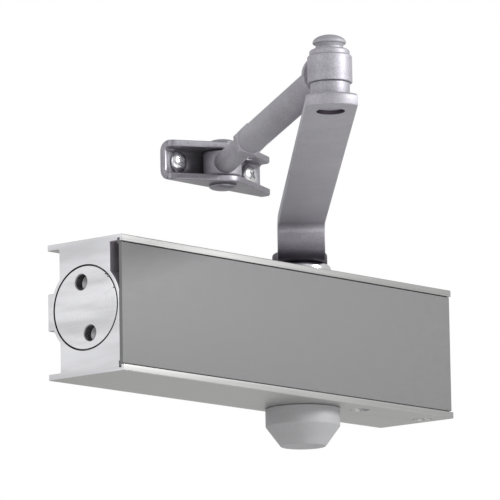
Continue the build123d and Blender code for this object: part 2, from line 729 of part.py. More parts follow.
# ---------------------------------------------------------------- all nodes
save("housing", housing())
save("cover_plate", cover_plate())
save("spring_end_plug", end_plug(-1))
save("valve_end_plug", end_plug(1))
save("spring_end_seal", plug_seal(-1))
save("valve_end_seal", plug_seal(1))
save("channel_plugs", *channel_plugs())
save("main_spring", main_spring())
save("spring_seat", spring_seat())
save("piston", piston())
save("piston_seals", *piston_seals())
save("check_ball", check_ball())
save("ball_seat", ball_seat())
save("pinion_shaft", pinion_shaft())
save("upper_bearing", bearing())
save("lower_bearing", mirror_z(bearing()))
save("upper_gland", gland(TOP - 0.2))
save("lower_gland", mirror_z(gland(TOP + 3)))
save("upper_shaft_seal", shaft_seal())
save("lower_shaft_seal", mirror_z(shaft_seal()))
save("spindle_ring", spindle_ring())
save("spindle_cap", spindle_cap())
save("closing_valve", valve(CLOSING_XY))
save("latching_valve", valve(LATCHING_XY))
save("closing_valve_seal", valve_seal(CLOSING_XY))
save("latching_valve_seal", valve_seal(LATCHING_XY))
save("main_arm", main_arm())
save("arm_washer", arm_washer())
save("arm_screw", arm_screw())
save("elbow_rivet", elbow_rivet())
save("elbow_spacer", elbow_spacer())
save("elbow_collar", elbow_collar())
save("elbow_knuckle", elbow_knuckle())
save("forearm_tube", forearm_tube())
save("lock_nut", lock_nut())
save("forearm_rod", forearm_rod())
save("shoe_bracket", shoe_bracket())
save("shoe_pivot_pin", shoe_pivot_pin())
save("shoe_screws", *shoe_screws())
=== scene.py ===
"""Looks of an overhead door closer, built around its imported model."""
import json
import logging
import math
from collections.abc import Callable, Iterable, Sequence
from dataclasses import dataclass, field
from enum import Enum

import bmesh
import bpy
from mathutils import Matrix, Vector
from mathutils.geometry import convex_hull_2d


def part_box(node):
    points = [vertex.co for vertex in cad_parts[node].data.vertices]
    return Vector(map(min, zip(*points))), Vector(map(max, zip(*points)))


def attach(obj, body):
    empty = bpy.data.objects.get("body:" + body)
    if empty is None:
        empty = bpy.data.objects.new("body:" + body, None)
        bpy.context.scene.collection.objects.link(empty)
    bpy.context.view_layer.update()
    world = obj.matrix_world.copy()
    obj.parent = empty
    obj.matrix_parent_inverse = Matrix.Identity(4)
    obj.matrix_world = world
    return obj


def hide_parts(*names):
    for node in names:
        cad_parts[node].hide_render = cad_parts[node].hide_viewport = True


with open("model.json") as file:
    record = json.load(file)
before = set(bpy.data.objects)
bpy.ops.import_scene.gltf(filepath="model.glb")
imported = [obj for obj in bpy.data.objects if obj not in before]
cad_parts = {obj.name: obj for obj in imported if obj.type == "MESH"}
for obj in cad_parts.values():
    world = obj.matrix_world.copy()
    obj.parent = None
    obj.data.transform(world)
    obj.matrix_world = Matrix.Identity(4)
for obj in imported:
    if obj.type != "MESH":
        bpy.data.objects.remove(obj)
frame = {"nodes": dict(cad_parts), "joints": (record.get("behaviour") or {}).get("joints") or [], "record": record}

MM = 0.001
SEED = 7
LOG = logging.getLogger("door_closer")

Piece = bpy.types.Object
Face = bpy.types.MeshPolygon
Material = bpy.types.Material
Tree = bpy.types.NodeTree
Node = bpy.types.Node
Socket = bpy.types.NodeSocket
Point2 = tuple[float, float]
Three = tuple[float, float, float]
Four = tuple[float, float, float, float]


class Body(Enum):
    """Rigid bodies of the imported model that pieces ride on."""

    CLOSER = "closer_body"
    COVER = "cover"
    CLOSING_VALVE = "closing_valve"
    LATCHING_VALVE = "latching_valve"
    ARM = "spindle_and_arm"
    FOREARM = "forearm"
    ROD = "adjusting_rod"
    SHOE = "shoe"


class Slot(Enum):
    """Material slots of the record, passed along with each new piece."""

    BODY = "body_aluminium"
    COVER = "cover_anodised"
    TURNED = "turned_aluminium"
    CAP = "cap_silver"
    ARM = "arm_silver"
    PLATED = "plated_steel"
    STEEL = "hardened_steel"


class End(Enum):
    """The two ends of the body; the value is the sign of X."""

    SPRING = -1
    VALVE = 1


PUNCH_TURNS = {End.SPRING: (203, 223, 228), End.VALVE: (137, 156)}

# Profiles in millimetres, as (radius, height) unless a line says otherwise.
PUNCH_MARK = [(0, 0.5), (0.9, 0.5), (0.15, -0.9), (0, -1.0)]
RIVET_FLARE = [(0, 0.25), (3.2, 0), (5.3, 0), (5.8, 0.15), (5.85, 0.4)]
VALVE_MOUTH = [(1.3, -1), (1.0, 0.1), (0.9, 1.2), (0, 1.3)]  # radius beyond the hole's
SHOE_ENDS = [(0.02, 0.4), (0.15, 0.15), (0.4, 0.0)]  # distance from the end, inset

# Lamps: name, position in metres, power in watts, width and height in metres.
LAMPS = (
    ("key", (0.9, -3.05, 1.15), 88.0, 0.8, 0.8),
    ("left_fill", (-2.0, 0.2, 0.6), 4.0, 1.2, 1.2),
    ("bounce", (-0.6, -1.5, -0.65), 5.0, 1.0, 0.6),
)


# ------------------------------------------------------------------ places from the frame
@dataclass(frozen=True)
class Places:
    """Axes and points that the pieces are built around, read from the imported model."""

    spindle: Vector
    elbow: Vector
    pivot: Vector
    forearm_dir: Vector
    closing: Vector
    latching: Vector

    @classmethod
    def from_frame(cls, joints: Sequence[dict]) -> "Places":
        """Read the joint axes.

        Args:
            joints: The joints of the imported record.

        Returns:
            The places of this part.
        """
        at = {j["name"]: j for j in joints}
        return cls(
            spindle=Vector(at["spindle_turn"]["pos_m"]),
            elbow=Vector(at["elbow_turn"]["pos_m"]),
            pivot=Vector(at["shoe_turn"]["pos_m"]),
            forearm_dir=Vector(at["forearm_adjust"]["axis"]),
            closing=Vector(at["closing_valve_turn"]["pos_m"]),
            latching=Vector(at["latching_valve_turn"]["pos_m"]),
        )

    @property
    def arm_turn(self) -> float:
        """Angle of the main arm about Z, in radians."""
        run = self.elbow - self.spindle
        return math.atan2(run.y, run.x)

    @property
    def arm_length(self) -> float:
        """Spindle axis to elbow axis, in millimetres."""
        return (self.elbow - self.spindle).to_2d().length / MM

    @property
    def forearm_length(self) -> float:
        """Elbow axis to shoe pivot, in millimetres."""
        return (self.pivot - self.elbow).to_2d().length / MM

    @property
    def along_forearm(self) -> Matrix:
        """Frame with Z along the forearm and its origin on the elbow axis."""
        turn = self.forearm_dir.to_track_quat("Z", "Y").to_matrix().to_4x4()
        return Matrix.Translation(self.elbow) @ turn


# ------------------------------------------------------------------ mesh tools
def rounded(corners: Iterable[Three], closed: bool = True, steps: int = 5) -> list[Point2]:
    """Outline with each corner replaced by an arc.

    Args:
        corners: (a, b, radius) of each corner in order; radius 0 keeps it sharp.
        closed: Whether the last corner joins the first.
        steps: Segments in each arc.

    Returns:
        The points of the outline.
    """
    points = list(corners)
    count = len(points)
    outline: list[Point2] = []
    for i, (a, b, radius) in enumerate(points):
        here = Vector((a, b))
        if radius <= 0 or (not closed and i in (0, count - 1)):
            outline.append((a, b))
            continue
        before = (Vector(points[i - 1][:2]) - here).normalized()
        after = (Vector(points[(i + 1) % count][:2]) - here).normalized()
        half = before.angle(after) / 2
        reach = radius / math.tan(half)
        centre = here + (before + after).normalized() * (radius / math.sin(half))
        start = here + before * reach - centre
        swing = start.angle_signed(here + after * reach - centre)
        for k in range(steps + 1):
            turn = -swing * k / steps
            spoke = Matrix.Rotation(turn, 2) @ start
            outline.append(tuple(centre + spoke))
    return outline


def arc(centre: Point2, radius: float, start: float, stop: float, steps: int = 12) -> list[Point2]:
    """Points on a circular arc, angles in degrees.

    Args:
        centre: Centre of the arc.
        radius: Radius of the arc.
        start: First angle.
        stop: Last angle.
        steps: Segments in the arc.

    Returns:
        The points from start to stop, both included.
    """
    angles = [math.radians(start + (stop - start) * k / steps) for k in range(steps + 1)]
    return [(centre[0] + radius * math.cos(t), centre[1] + radius * math.sin(t)) for t in angles]


def as_object(mesh: bpy.types.Mesh, name: str) -> Piece:
    """Link a new object that shows a mesh."""
    piece = bpy.data.objects.new(name, mesh)
    bpy.context.scene.collection.objects.link(piece)
    return piece


def finish_mesh(mesh: bpy.types.Mesh, sharp: float = 32.0, merge: float = 1e-6) -> None:
    """Merge doubles, point faces outwards and shade by angle.

    Args:
        mesh: Mesh to finish, in metres.
        sharp: Edges that turn more than this many degrees stay sharp.
        merge: Distance under which vertices are merged.
    """
    work = bmesh.new()
    work.from_mesh(mesh)
    bmesh.ops.remove_doubles(work, verts=work.verts, dist=merge)
    bmesh.ops.dissolve_degenerate(work, edges=work.edges, dist=merge)
    bmesh.ops.recalc_face_normals(work, faces=work.faces)
    work.to_mesh(mesh)
    work.free()
    mesh.shade_smooth()
    mesh.set_sharp_from_angle(angle=math.radians(sharp))


def from_rings(
    name: str,
    rings: Sequence[Sequence[Vector]],
    joined: bool = False,
    fold: int | None = None,
) -> Piece:
    """Skin a row of rings of equal count.

    Args:
        name: Name of the new object.
        rings: Rings of points, in metres.
        joined: Whether the last ring joins the first.
        fold: Fills the two end rings with strips; point k of a ring meets the point fold places
            before point -k. None leaves them open.

    Returns:
        The new object.
    """
    count = len(rings[0])
    verts = [p for ring in rings for p in ring]
    faces: list[Sequence[int]] = []
    last = len(rings) if joined else len(rings) - 1
    for i in range(last):
        low = i * count
        high = (i + 1) % len(rings) * count
        for k in range(count):
            n = (k + 1) % count
            faces.append((low + k, low + n, high + n, high + k))
    if fold is not None:
        for start in (0, len(verts) - count):
            for k in range(count // 2):
                pair = [k, k + 1, (count - fold - k - 1) % count, (count - fold - k) % count]
                corners = tuple(dict.fromkeys(start + i for i in pair))
                if len(corners) > 2:
                    faces.append(corners)
    mesh = bpy.data.meshes.new(name)
    mesh.from_pydata(verts, [], faces)
    finish_mesh(mesh)
    return as_object(mesh, name)


def along_path(path: Sequence[Point2], run: float) -> tuple[Vector, Vector]:
    """Point and upward normal at a distance along a line of points.

    Args:
        path: Points of the line.
        run: Distance from its start.

    Returns:
        The point, and the unit normal to the left of the line's direction, averaged at its points.
    """
    done = 0.0
    for i, (here, after) in enumerate(zip(path, path[1:])):
        step = Vector(after) - Vector(here)
        if run <= done + step.length + 1e-6 or i == len(path) - 2:
            share = (run - done) / step.length
            spot = Vector(here) + step * share
            along = step.normalized()
            if share > 1 - 1e-3 and i < len(path) - 2:
                along += (Vector(path[i + 2]) - Vector(after)).normalized()
            elif share < 1e-3 and i > 0:
                along += (Vector(here) - Vector(path[i - 1])).normalized()
            along.normalize()
            return spot, Vector((-along.y, along.x))
        done += step.length
    raise ValueError("empty path")


def turned(
    name: str, profile: Sequence[Point2], place: Matrix, segments: int = 96, ring: bool = False
) -> Piece:
    """Turn a profile about the local Z axis.

    Args:
        name: Name of the new object.
        profile: (radius, height) points in millimetres.
        place: Frame of the axis.
        segments: Points around the axis.
        ring: Whether the profile closes on itself, away from the axis.

    Returns:
        The new object.
    """
    rings = []
    for radius, height in profile:
        spokes = []
        for k in range(segments):
            turn = math.tau * k / segments
            local = Vector((radius * math.cos(turn), radius * math.sin(turn), height)) * MM
            spokes.append(place @ local)
        rings.append(spokes)
    return from_rings(name, rings, joined=ring)


def sleeve(
    name: str,
    bore: float,
    outer: float,
    span: Point2,
    radii: Four,
    place: Matrix,
    segments: int = 96,
    steps: int = 5,
) -> Piece:
    """Turn a ring whose section is a rectangle with rounded corners.

    Args:
        name: Name of the new object.
        bore: Inner radius in millimetres.
        outer: Outer radius in millimetres.
        span: Lower and upper end in millimetres.
        radii: Rounding of the corners: inner low, outer low, outer high, inner high.
        place: Frame of the axis.
        segments: Points around the axis.
        steps: Segments in each rounded corner.

    Returns:
        The new object.
    """
    low, high = span
    spots = ((bore, low), (outer, low), (outer, high), (bore, high))
    corners = [(*spot, radius) for spot, radius in zip(spots, radii)]
    return turned(name, rounded(corners, steps=steps), place, segments, ring=True)


def rectangle(half_a: float, half_b: float) -> list[Point2]:
    """Outline of a rectangle about the origin, from its half sides."""
    return [(-half_a, -half_b), (half_a, -half_b), (half_a, half_b), (-half_a, half_b)]


def extruded(
    name: str,
    outline: Sequence[Point2],
    place: Matrix,
    low: float,
    high: float,
    edge: float = 0.0,
    holes: Sequence[Sequence[Point2]] = (),
) -> Piece:
    """Extrude a flat outline along local Z, with its end edges rounded.

    Args:
        name: Name of the new object.
        outline: Outline in millimetres.
        place: Frame of the outline.
        low: Lower end in millimetres.
        high: Upper end in millimetres.
        edge: Radius of the rounded end edges.
        holes: Outlines of the holes.

    Returns:
        The new object.
    """
    curve = bpy.data.curves.new(name, "CURVE")
    curve.dimensions = "2D"
    curve.fill_mode = "BOTH"
    curve.extrude = (high - low) / 2 * MM - edge * MM
    curve.bevel_depth = edge * MM
    curve.bevel_resolution = 2
    curve.offset = -edge * MM
    for loop in (outline, *holes):
        spline = curve.splines.new("POLY")
        spline.points.add(len(loop) - 1)
        for point, (a, b) in zip(spline.points, loop):
            point.co = (a * MM, b * MM, 0, 1)
        spline.use_cyclic_u = True
    sketch = as_object(curve, name + "_sketch")
    mesh = frozen_mesh(sketch, name)
    bpy.data.objects.remove(sketch)
    mesh.transform(place @ Matrix.Translation((0, 0, (low + high) / 2 * MM)))
    finish_mesh(mesh, merge=2e-6)
    return as_object(mesh, name)


def frozen_mesh(piece: Piece, name: str) -> bpy.types.Mesh:
    """Plain mesh of an object with its modifiers worked in."""
    graph = bpy.context.evaluated_depsgraph_get()
    graph.update()
    mesh = bpy.data.meshes.new_from_object(piece.evaluated_get(graph), depsgraph=graph)
    mesh.name = name
    return mesh


def combine(piece: Piece, tool: Piece, operation: str = "DIFFERENCE") -> Piece:
    """Cut one piece with another, or join them, and drop the tool.

    Args:
        piece: Piece to change.
        tool: The other solid, removed afterwards.
        operation: DIFFERENCE, UNION or INTERSECT.

    Returns:
        The changed piece.
    """
    step = piece.modifiers.new("combine", "BOOLEAN")
    step.operation = operation
    step.solver = "EXACT"
    step.object = tool
    mesh = frozen_mesh(piece, piece.data.name)
    piece.modifiers.remove(step)
    old = piece.data
    piece.data = mesh
    bpy.data.meshes.remove(old)
    bpy.data.objects.remove(tool)
    finish_mesh(mesh)
    return piece


def upright(point: Vector) -> Matrix:
    """Frame with its Z axis up through a point in metres and its origin at height 0."""
    return Matrix.Translation((point.x, point.y, 0))


def axis_x(x: float, y: float, z: float) -> Matrix:
    """Frame whose Z axis is the row's X axis, local X is Y and local Y is Z."""
    turn = Matrix(((0, 0, 1, 0), (1, 0, 0, 0), (0, 1, 0, 0), (0, 0, 0, 1)))
    return Matrix.Translation((x, y, z)) @ turn


def axis_y(x: float, y: float, z: float) -> Matrix:
    """Frame whose Z axis is the row's Y axis."""
    turn = Matrix(((0, 1, 0, 0), (0, 0, 1, 0), (1, 0, 0, 0), (0, 0, 0, 1)))
    return Matrix.Translation((x, y, z)) @ turn


def round_extent(box: tuple[Vector, Vector]) -> Three:
    """Radius, lower end and upper end of an upright round node's box, in millimetres."""
    low, high = box
    return (high.x - low.x) / 2 / MM, low.z / MM, high.z / MM


def bar(name: str, radius: float, low: float, high: float, place: Matrix) -> Piece:
    """Plain round bar, used as a cutting tool."""
    return turned(name, [(0, low), (radius, low), (radius, high), (0, high)], place, 64)


# ------------------------------------------------------------------ node tools
class Sheet:
    """Adds and joins nodes in one node tree."""

    def __init__(self, tree: Tree) -> None:
        """Start on a tree."""
        self.tree = tree

    def add(self, kind: str, inputs: dict | None = None, **settings: object) -> Node:
        """Add a node.

        Args:
            kind: Node type.
            inputs: Value or source socket of each input, by name or number.
            settings: Attributes of the node.

        Returns:
            The new node.
        """
        node = self.tree.nodes.new(kind)
        for key, value in settings.items():
            setattr(node, key, value)
        for key, value in (inputs or {}).items():
            self.feed(node.inputs[key], value)
        return node

    def feed(self, socket: Socket, value: object) -> None:
        """Link a socket to an input, or set the input's value."""
        if isinstance(value, Socket):
            self.tree.links.new(value, socket)
        else:
            socket.default_value = value

    def math(self, operation: str, *values: object, clamp: bool = False) -> Socket:
        """Result of a Math node on up to three values."""
        node = self.add("ShaderNodeMath", operation=operation, use_clamp=clamp)
        for socket, value in zip(node.inputs, values):
            self.feed(socket, value)
        return node.outputs[0]

    def ramp(self, value: object, low: float, high: float, to_low: float = 0.0, to_high: float = 1.0):
        """Value mapped smoothly from one range to another."""
        node = self.add("ShaderNodeMapRange", interpolation_type="SMOOTHSTEP")
        for socket, item in zip(node.inputs, (value, low, high, to_low, to_high)):
            self.feed(socket, item)
        return node.outputs[0]

    def mix(self, share: object, first: object, second: object) -> Socket:
        """Two colours mixed by a share."""
        node = self.add("ShaderNodeMix", data_type="RGBA")
        self.feed(node.inputs["Factor"], share)
        self.feed(node.inputs["A"], first)
        self.feed(node.inputs["B"], second)
        return node.outputs["Result"]


def shader_group(
    name: str,
    inputs: dict[str, tuple[str, object]],
    outputs: dict[str, str],
    fill: Callable[[Sheet, Node, Node], None],
) -> Tree:
    """Build a shader node group once.

    Args:
        name: Name of the group.
        inputs: Socket kind and default of each input.
        outputs: Socket kind of each output.
        fill: Adds the nodes between the group's input and output.

    Returns:
        The group.
    """
    known = bpy.data.node_groups.get(name)
    if known:
        return known
    tree = bpy.data.node_groups.new(name, "ShaderNodeTree")
    for label, (kind, value) in inputs.items():
        socket = tree.interface.new_socket(name=label, in_out="INPUT", socket_type=kind)
        socket.default_value = value
    for label, kind in outputs.items():
        tree.interface.new_socket(name=label, in_out="OUTPUT", socket_type=kind)
    sheet = Sheet(tree)
    fill(sheet, sheet.add("NodeGroupInput"), sheet.add("NodeGroupOutput"))
    return tree


FLOAT = "NodeSocketFloat"
VECTOR = "NodeSocketVector"
PLACE = {"Place": (VECTOR, (0, 0, 0))}
SCUFF_TURN = (0.7, 0.4, 1.1)
SCUFF_STRETCH = (90, 1400, 1400)
SCUFF_RANGE = (0.66, 0.74)
NEAR_RANGE = (0.5, 0.7)
CLOUD_RANGE = (0.3, 0.7)
SHEEN_TURN = (0.45, 0, 0)
SHEEN_STRETCH = (20, 14, 85)
SHEEN_RANGE = (0.33, 0.66)
WEAR_RANGE = (0.99, 0.88)
BREAK_RANGE = (0.38, 0.6)


def directional_grain() -> Tree:
    """Fine scratches that run one way, as brushing or an extrusion die leaves them."""

    def fill(sheet: Sheet, given: Node, out: Node) -> None:
        scaled = sheet.add("ShaderNodeVectorMath", {0: given.outputs["Place"]}, operation="MULTIPLY")
        sheet.feed(scaled.inputs[1], given.outputs["Stretch"])
        fine = sheet.add("ShaderNodeTexNoise", {"Vector": scaled.outputs[0], "Scale": 1.0, "Detail": 4.0})
        broad = sheet.add("ShaderNodeTexNoise", {"Vector": scaled.outputs[0], "Scale": 0.23, "Detail": 2.0})
        value = sheet.math("MULTIPLY_ADD", broad.outputs["Fac"], 0.5, 0.0)
        value = sheet.math("MULTIPLY_ADD", fine.outputs["Fac"], 0.5, value)
        sheet.feed(out.inputs["Value"], value)
        sheet.feed(out.inputs["Height"], fine.outputs["Fac"])

    return shader_group(
        "Directional grain",
        {**PLACE, "Stretch": (VECTOR, (400, 8000, 8000))},
        {"Value": FLOAT, "Height": FLOAT},
        fill,
    )


def handling_marks() -> Tree:
    """Cloudy variation from handling and dust, with a sparse set of small scuffs."""

    def fill(sheet: Sheet, given: Node, out: Node) -> None:
        place = given.outputs["Place"]
        cloud = sheet.add(
            "ShaderNodeTexNoise", {"Vector": place, "Scale": given.outputs["Scale"], "Detail": 5.0}
        )
        turned_place = sheet.add("ShaderNodeMapping", {"Vector": place})
        turned_place.inputs["Rotation"].default_value = SCUFF_TURN
        turned_place.inputs["Scale"].default_value = SCUFF_STRETCH
        scuff = sheet.add("ShaderNodeTexNoise", {"Vector": turned_place.outputs[0], "Scale": 1.0})
        sparse = sheet.ramp(scuff.outputs["Fac"], *SCUFF_RANGE)
        near = sheet.ramp(cloud.outputs["Fac"], *NEAR_RANGE)
        sheet.feed(out.inputs["Cloud"], sheet.ramp(cloud.outputs["Fac"], *CLOUD_RANGE))
        sheet.feed(out.inputs["Scuff"], sheet.math("MULTIPLY", sparse, near))

    return shader_group(
        "Handling marks",
        {**PLACE, "Scale": (FLOAT, 22.0)},
        {"Cloud": FLOAT, "Scuff": FLOAT},
        fill,
    )


def metal_flake() -> Tree:
    """Speckle of metallic paint: small cells of differing brightness and tilt."""

    def fill(sheet: Sheet, given: Node, out: Node) -> None:
        cells = sheet.add(
            "ShaderNodeTexVoronoi", {"Vector": given.outputs["Place"], "Scale": given.outputs["Scale"]}
        )
        grey = sheet.add("ShaderNodeRGBToBW", {"Color": cells.outputs["Color"]})
        orange = sheet.add(
            "ShaderNodeTexNoise", {"Vector": given.outputs["Place"], "Scale": 900.0, "Detail": 3.0}
        )
        height = sheet.math("MULTIPLY_ADD", orange.outputs["Fac"], 0.6, grey.outputs[0])
        sheet.feed(out.inputs["Value"], grey.outputs[0])
        sheet.feed(out.inputs["Height"], height)

    return shader_group(
        "Metal flake",
        {**PLACE, "Scale": (FLOAT, 4200.0)},
        {"Value": FLOAT, "Height": FLOAT},
        fill,
    )


def turning_marks() -> Tree:
    """Rings that a lathe or facing cutter leaves round the local Z axis."""

    def fill(sheet: Sheet, given: Node, out: Node) -> None:
        parts = sheet.add("ShaderNodeSeparateXYZ", {0: given.outputs["Place"]})
        flat = sheet.add("ShaderNodeCombineXYZ", {0: parts.outputs[0], 1: parts.outputs[1]})
        radius = sheet.add("ShaderNodeVectorMath", {0: flat.outputs[0]}, operation="LENGTH")
        line = sheet.math("MULTIPLY", radius.outputs["Value"], given.outputs["Pitch"])
        rings = sheet.add(
            "ShaderNodeTexNoise", {"W": line, "Scale": 1.0, "Detail": 2.0}, noise_dimensions="1D"
        )
        sheet.feed(out.inputs["Value"], rings.outputs["Fac"])

    return shader_group(
        "Turning marks",
        {**PLACE, "Pitch": (FLOAT, 3000.0)},
        {"Value": FLOAT},
        fill,
    )


def wiped_sheen() -> Tree:
    """Broad slanting bands that a wiped, faced end keeps, seen along the local X axis."""

    def fill(sheet: Sheet, given: Node, out: Node) -> None:
        slant = sheet.add("ShaderNodeMapping", {"Vector": given.outputs["Place"]})
        slant.inputs["Rotation"].default_value = SHEEN_TURN
        slant.inputs["Scale"].default_value = SHEEN_STRETCH
        bands = sheet.add("ShaderNodeTexNoise", {"Vector": slant.outputs[0], "Scale": 1.0, "Detail": 3.0})
        sheet.feed(out.inputs["Value"], sheet.ramp(bands.outputs["Fac"], *SHEEN_RANGE))

    return shader_group("Wiped sheen", PLACE, {"Value": FLOAT}, fill)


def edge_wear() -> Tree:
    """Mask of the sharp edges, broken up by noise."""

    def fill(sheet: Sheet, given: Node, out: Node) -> None:
        soft = sheet.add("ShaderNodeBevel", {"Radius": given.outputs["Radius"]}, samples=4)
        true = sheet.add("ShaderNodeNewGeometry")
        facing = sheet.add(
            "ShaderNodeVectorMath", {0: soft.outputs[0], 1: true.outputs["Normal"]}, operation="DOT_PRODUCT"
        )
        worn = sheet.ramp(facing.outputs["Value"], *WEAR_RANGE)
        noise = sheet.add("ShaderNodeTexNoise", {"Vector": given.outputs["Place"], "Scale": 260.0})
        broken = sheet.ramp(noise.outputs["Fac"], *BREAK_RANGE)
        sheet.feed(out.inputs["Mask"], sheet.math("MULTIPLY", worn, broken))

    return shader_group(
        "Edge wear",
        {**PLACE, "Radius": (FLOAT, 0.0005)},
        {"Mask": FLOAT},
        fill,
    )


# ------------------------------------------------------------------ finishes
@dataclass(frozen=True)
class Finish:
    """Common start of every finish: one material with a Principled shader and object coordinates."""

    name: str
    colour: Three
    roughness: float
    metallic: float = 1.0

    def start(self) -> tuple[Material, Sheet, Node, Socket]:
        """Open a new material.

        Returns:
            The material, its node sheet, its shader and its place coordinates.
        """
        material = bpy.data.materials.new(self.name)
        material.use_nodes = True
        sheet = Sheet(material.node_tree)
        shader = material.node_tree.nodes["Principled BSDF"]
        shader.inputs["Base Color"].default_value = self.tint()
        shader.inputs["Metallic"].default_value = self.metallic
        shader.inputs["Roughness"].default_value = self.roughness
        place = sheet.add("ShaderNodeTexCoord").outputs["Object"]
        return material, sheet, shader, place

    def group(self, sheet: Sheet, tree: Tree, **inputs: object) -> Node:
        """Place a shader group with its own values."""
        node = sheet.add("ShaderNodeGroup", node_tree=tree)
        for label, value in inputs.items():
            sheet.feed(node.inputs[label], value)
        return node

    def tint(self, share: float = 1.0) -> Four:
        """Base colour times a share, no channel above 1, with full alpha."""
        return (*(min(c * share, 1.0) for c in self.colour), 1)

    def vary(self, sheet: Sheet, amount: object, contrast: float) -> Socket:
        """Base colour between a darker and a lighter share of itself."""
        return sheet.mix(amount, self.tint(1 - contrast), self.tint(1 + contrast))

    def cover(
        self, sheet: Sheet, mask: object, share: float, under: object, over: object
    ) -> Socket:
        """Lay a share of one colour over another where a mask says so."""
        return sheet.mix(sheet.math("MULTIPLY", mask, share), under, over)

    def bump(self, sheet: Sheet, shader: Node, height: object, depth: float) -> None:
        """Feed a height in metres times depth to the shader's normal."""
        bump = sheet.add("ShaderNodeBump", {"Height": height, "Strength": 1.0, "Distance": depth})
        sheet.feed(shader.inputs["Normal"], bump.outputs["Normal"])

    def make(self) -> Material:
        """Build the material; each kind of finish has its own."""
        raise NotImplementedError


@dataclass(frozen=True)
class GrainedMetal(Finish):
    """Brushed, extruded or anodised metal with a grain that runs one way."""

    stretch: Three = (60, 5000, 5000)
    contrast: float = 0.06
    depth: float = 2e-6
    cloud: float = 0.03
    sheen: float = 0.0
    scuff_tone: float = 0.72
    scuff_share: float = 0.16

    def make(self) -> Material:
        """Build the material."""
        material, sheet, shader, place = self.start()
        grain = self.group(sheet, directional_grain(), Place=place, Stretch=self.stretch)
        marks = self.group(sheet, handling_marks(), Place=place, Scale=16.0)
        tone = self.vary(sheet, grain.outputs["Value"], self.contrast)
        tone = self.cover(sheet, marks.outputs["Cloud"], self.cloud * 2, tone, self.tint())
        if self.sheen:
            wiped = self.group(sheet, wiped_sheen(), Place=place)
            tone = sheet.mix(wiped.outputs["Value"], self.tint(1 - self.sheen), tone)
        scuffed = self.tint(self.scuff_tone)
        tone = self.cover(sheet, marks.outputs["Scuff"], self.scuff_share, tone, scuffed)
        sheet.feed(shader.inputs["Base Color"], tone)
        low = self.roughness - 0.05
        high = self.roughness + 0.07
        sheet.feed(shader.inputs["Roughness"], sheet.ramp(grain.outputs["Value"], 0.3, 0.7, low, high))
        self.bump(sheet, shader, grain.outputs["Height"], self.depth)
        return material


@dataclass(frozen=True)
class SilverPaint(Finish):
    """Silver metallic paint with flake, faint scuffs, rubbed edges and, at choice, painted shade that darkens it
    towards a foot.
    """

    bare: Four = (0.72, 0.72, 0.74, 1)
    flake: float = 0.1
    depth: float = 9e-6
    wear: float = 0.5
    grain: float = 0.12
    cells: float = 3800.0
    cast: Four = (0.62, 0.61, 0.66, 1)
    # The foot fields paint shade: below the given heights the colour falls to a near-black tone that stands in for
    # shade under the arm's bend.
    foot: Point2 | None = None
    foot_shade_tone: Four = (0.02, 0.014, 0.026, 1)
    foot_shade_share: float = 0.92
    foot_shade_fall: float = 2.2

    def make(self) -> Material:
        """Build the material."""
        material, sheet, shader, place = self.start()
        flake = self.group(sheet, metal_flake(), Place=place, Scale=self.cells)
        marks = self.group(sheet, handling_marks(), Place=place, Scale=30.0)
        wear = self.group(sheet, edge_wear(), Place=place, Radius=0.0006)
        tone = self.vary(sheet, flake.outputs["Value"], self.flake)
        drawn = self.group(sheet, wiped_sheen(), Place=place)
        for mask, share, over in (
            (drawn.outputs["Value"], self.grain, self.cast),
            (marks.outputs["Cloud"], 0.25, self.tint(0.7)),
            (marks.outputs["Scuff"], 0.3, self.bare),
            (wear.outputs["Mask"], self.wear, self.bare),
        ):
            tone = self.cover(sheet, mask, share, tone, over)
        # Painted shade: darken the paint towards the low end of the foot heights.
        if self.foot:
            low, high = self.foot
            height = sheet.add("ShaderNodeSeparateXYZ", {0: place}).outputs[2]
            painted_foot_shade = sheet.math("POWER", sheet.ramp(height, high, low), self.foot_shade_fall)
            tone = self.cover(sheet, painted_foot_shade, self.foot_shade_share, tone, self.foot_shade_tone)
        sheet.feed(shader.inputs["Base Color"], tone)
        low = self.roughness - 0.04
        high = self.roughness + 0.08
        sheet.feed(shader.inputs["Roughness"], sheet.ramp(marks.outputs["Cloud"], 0, 1, low, high))
        self.bump(sheet, shader, flake.outputs["Height"], self.depth)
        return material


@dataclass(frozen=True)
class TurnedMetal(Finish):
    """Metal faced or turned on a lathe: rings round an axis, with a broad cross sheen."""

    centre: Three = (0, 0, 0)
    turn: Three = (0, 0, 0)
    pitch: float = 2600.0
    depth: float = 3e-6
    contrast: float = 0.07
    streaks: float = 0.0

    def make(self) -> Material:
        """Build the material."""
        material, sheet, shader, place = self.start()
        mapping = sheet.add("ShaderNodeMapping", {"Vector": place}, vector_type="TEXTURE")
        mapping.inputs["Location"].default_value = self.centre
        mapping.inputs["Rotation"].default_value = self.turn
        local = mapping.outputs[0]
        rings = self.group(sheet, turning_marks(), Place=local, Pitch=self.pitch)
        marks = self.group(sheet, handling_marks(), Place=place, Scale=34.0)
        tone = self.vary(sheet, rings.outputs["Value"], self.contrast)
        if self.streaks:
            wiped = self.group(sheet, wiped_sheen(), Place=place)
            tone = sheet.mix(wiped.outputs["Value"], self.tint(1 - self.streaks), tone)
        tone = self.cover(sheet, marks.outputs["Cloud"], 0.1, tone, self.tint(0.75))
        sheet.feed(shader.inputs["Base Color"], tone)
        low = self.roughness - 0.05
        high = self.roughness + 0.06
        sheet.feed(shader.inputs["Roughness"], sheet.ramp(rings.outputs["Value"], 0.3, 0.7, low, high))
        self.bump(sheet, shader, rings.outputs["Value"], self.depth)
        return material


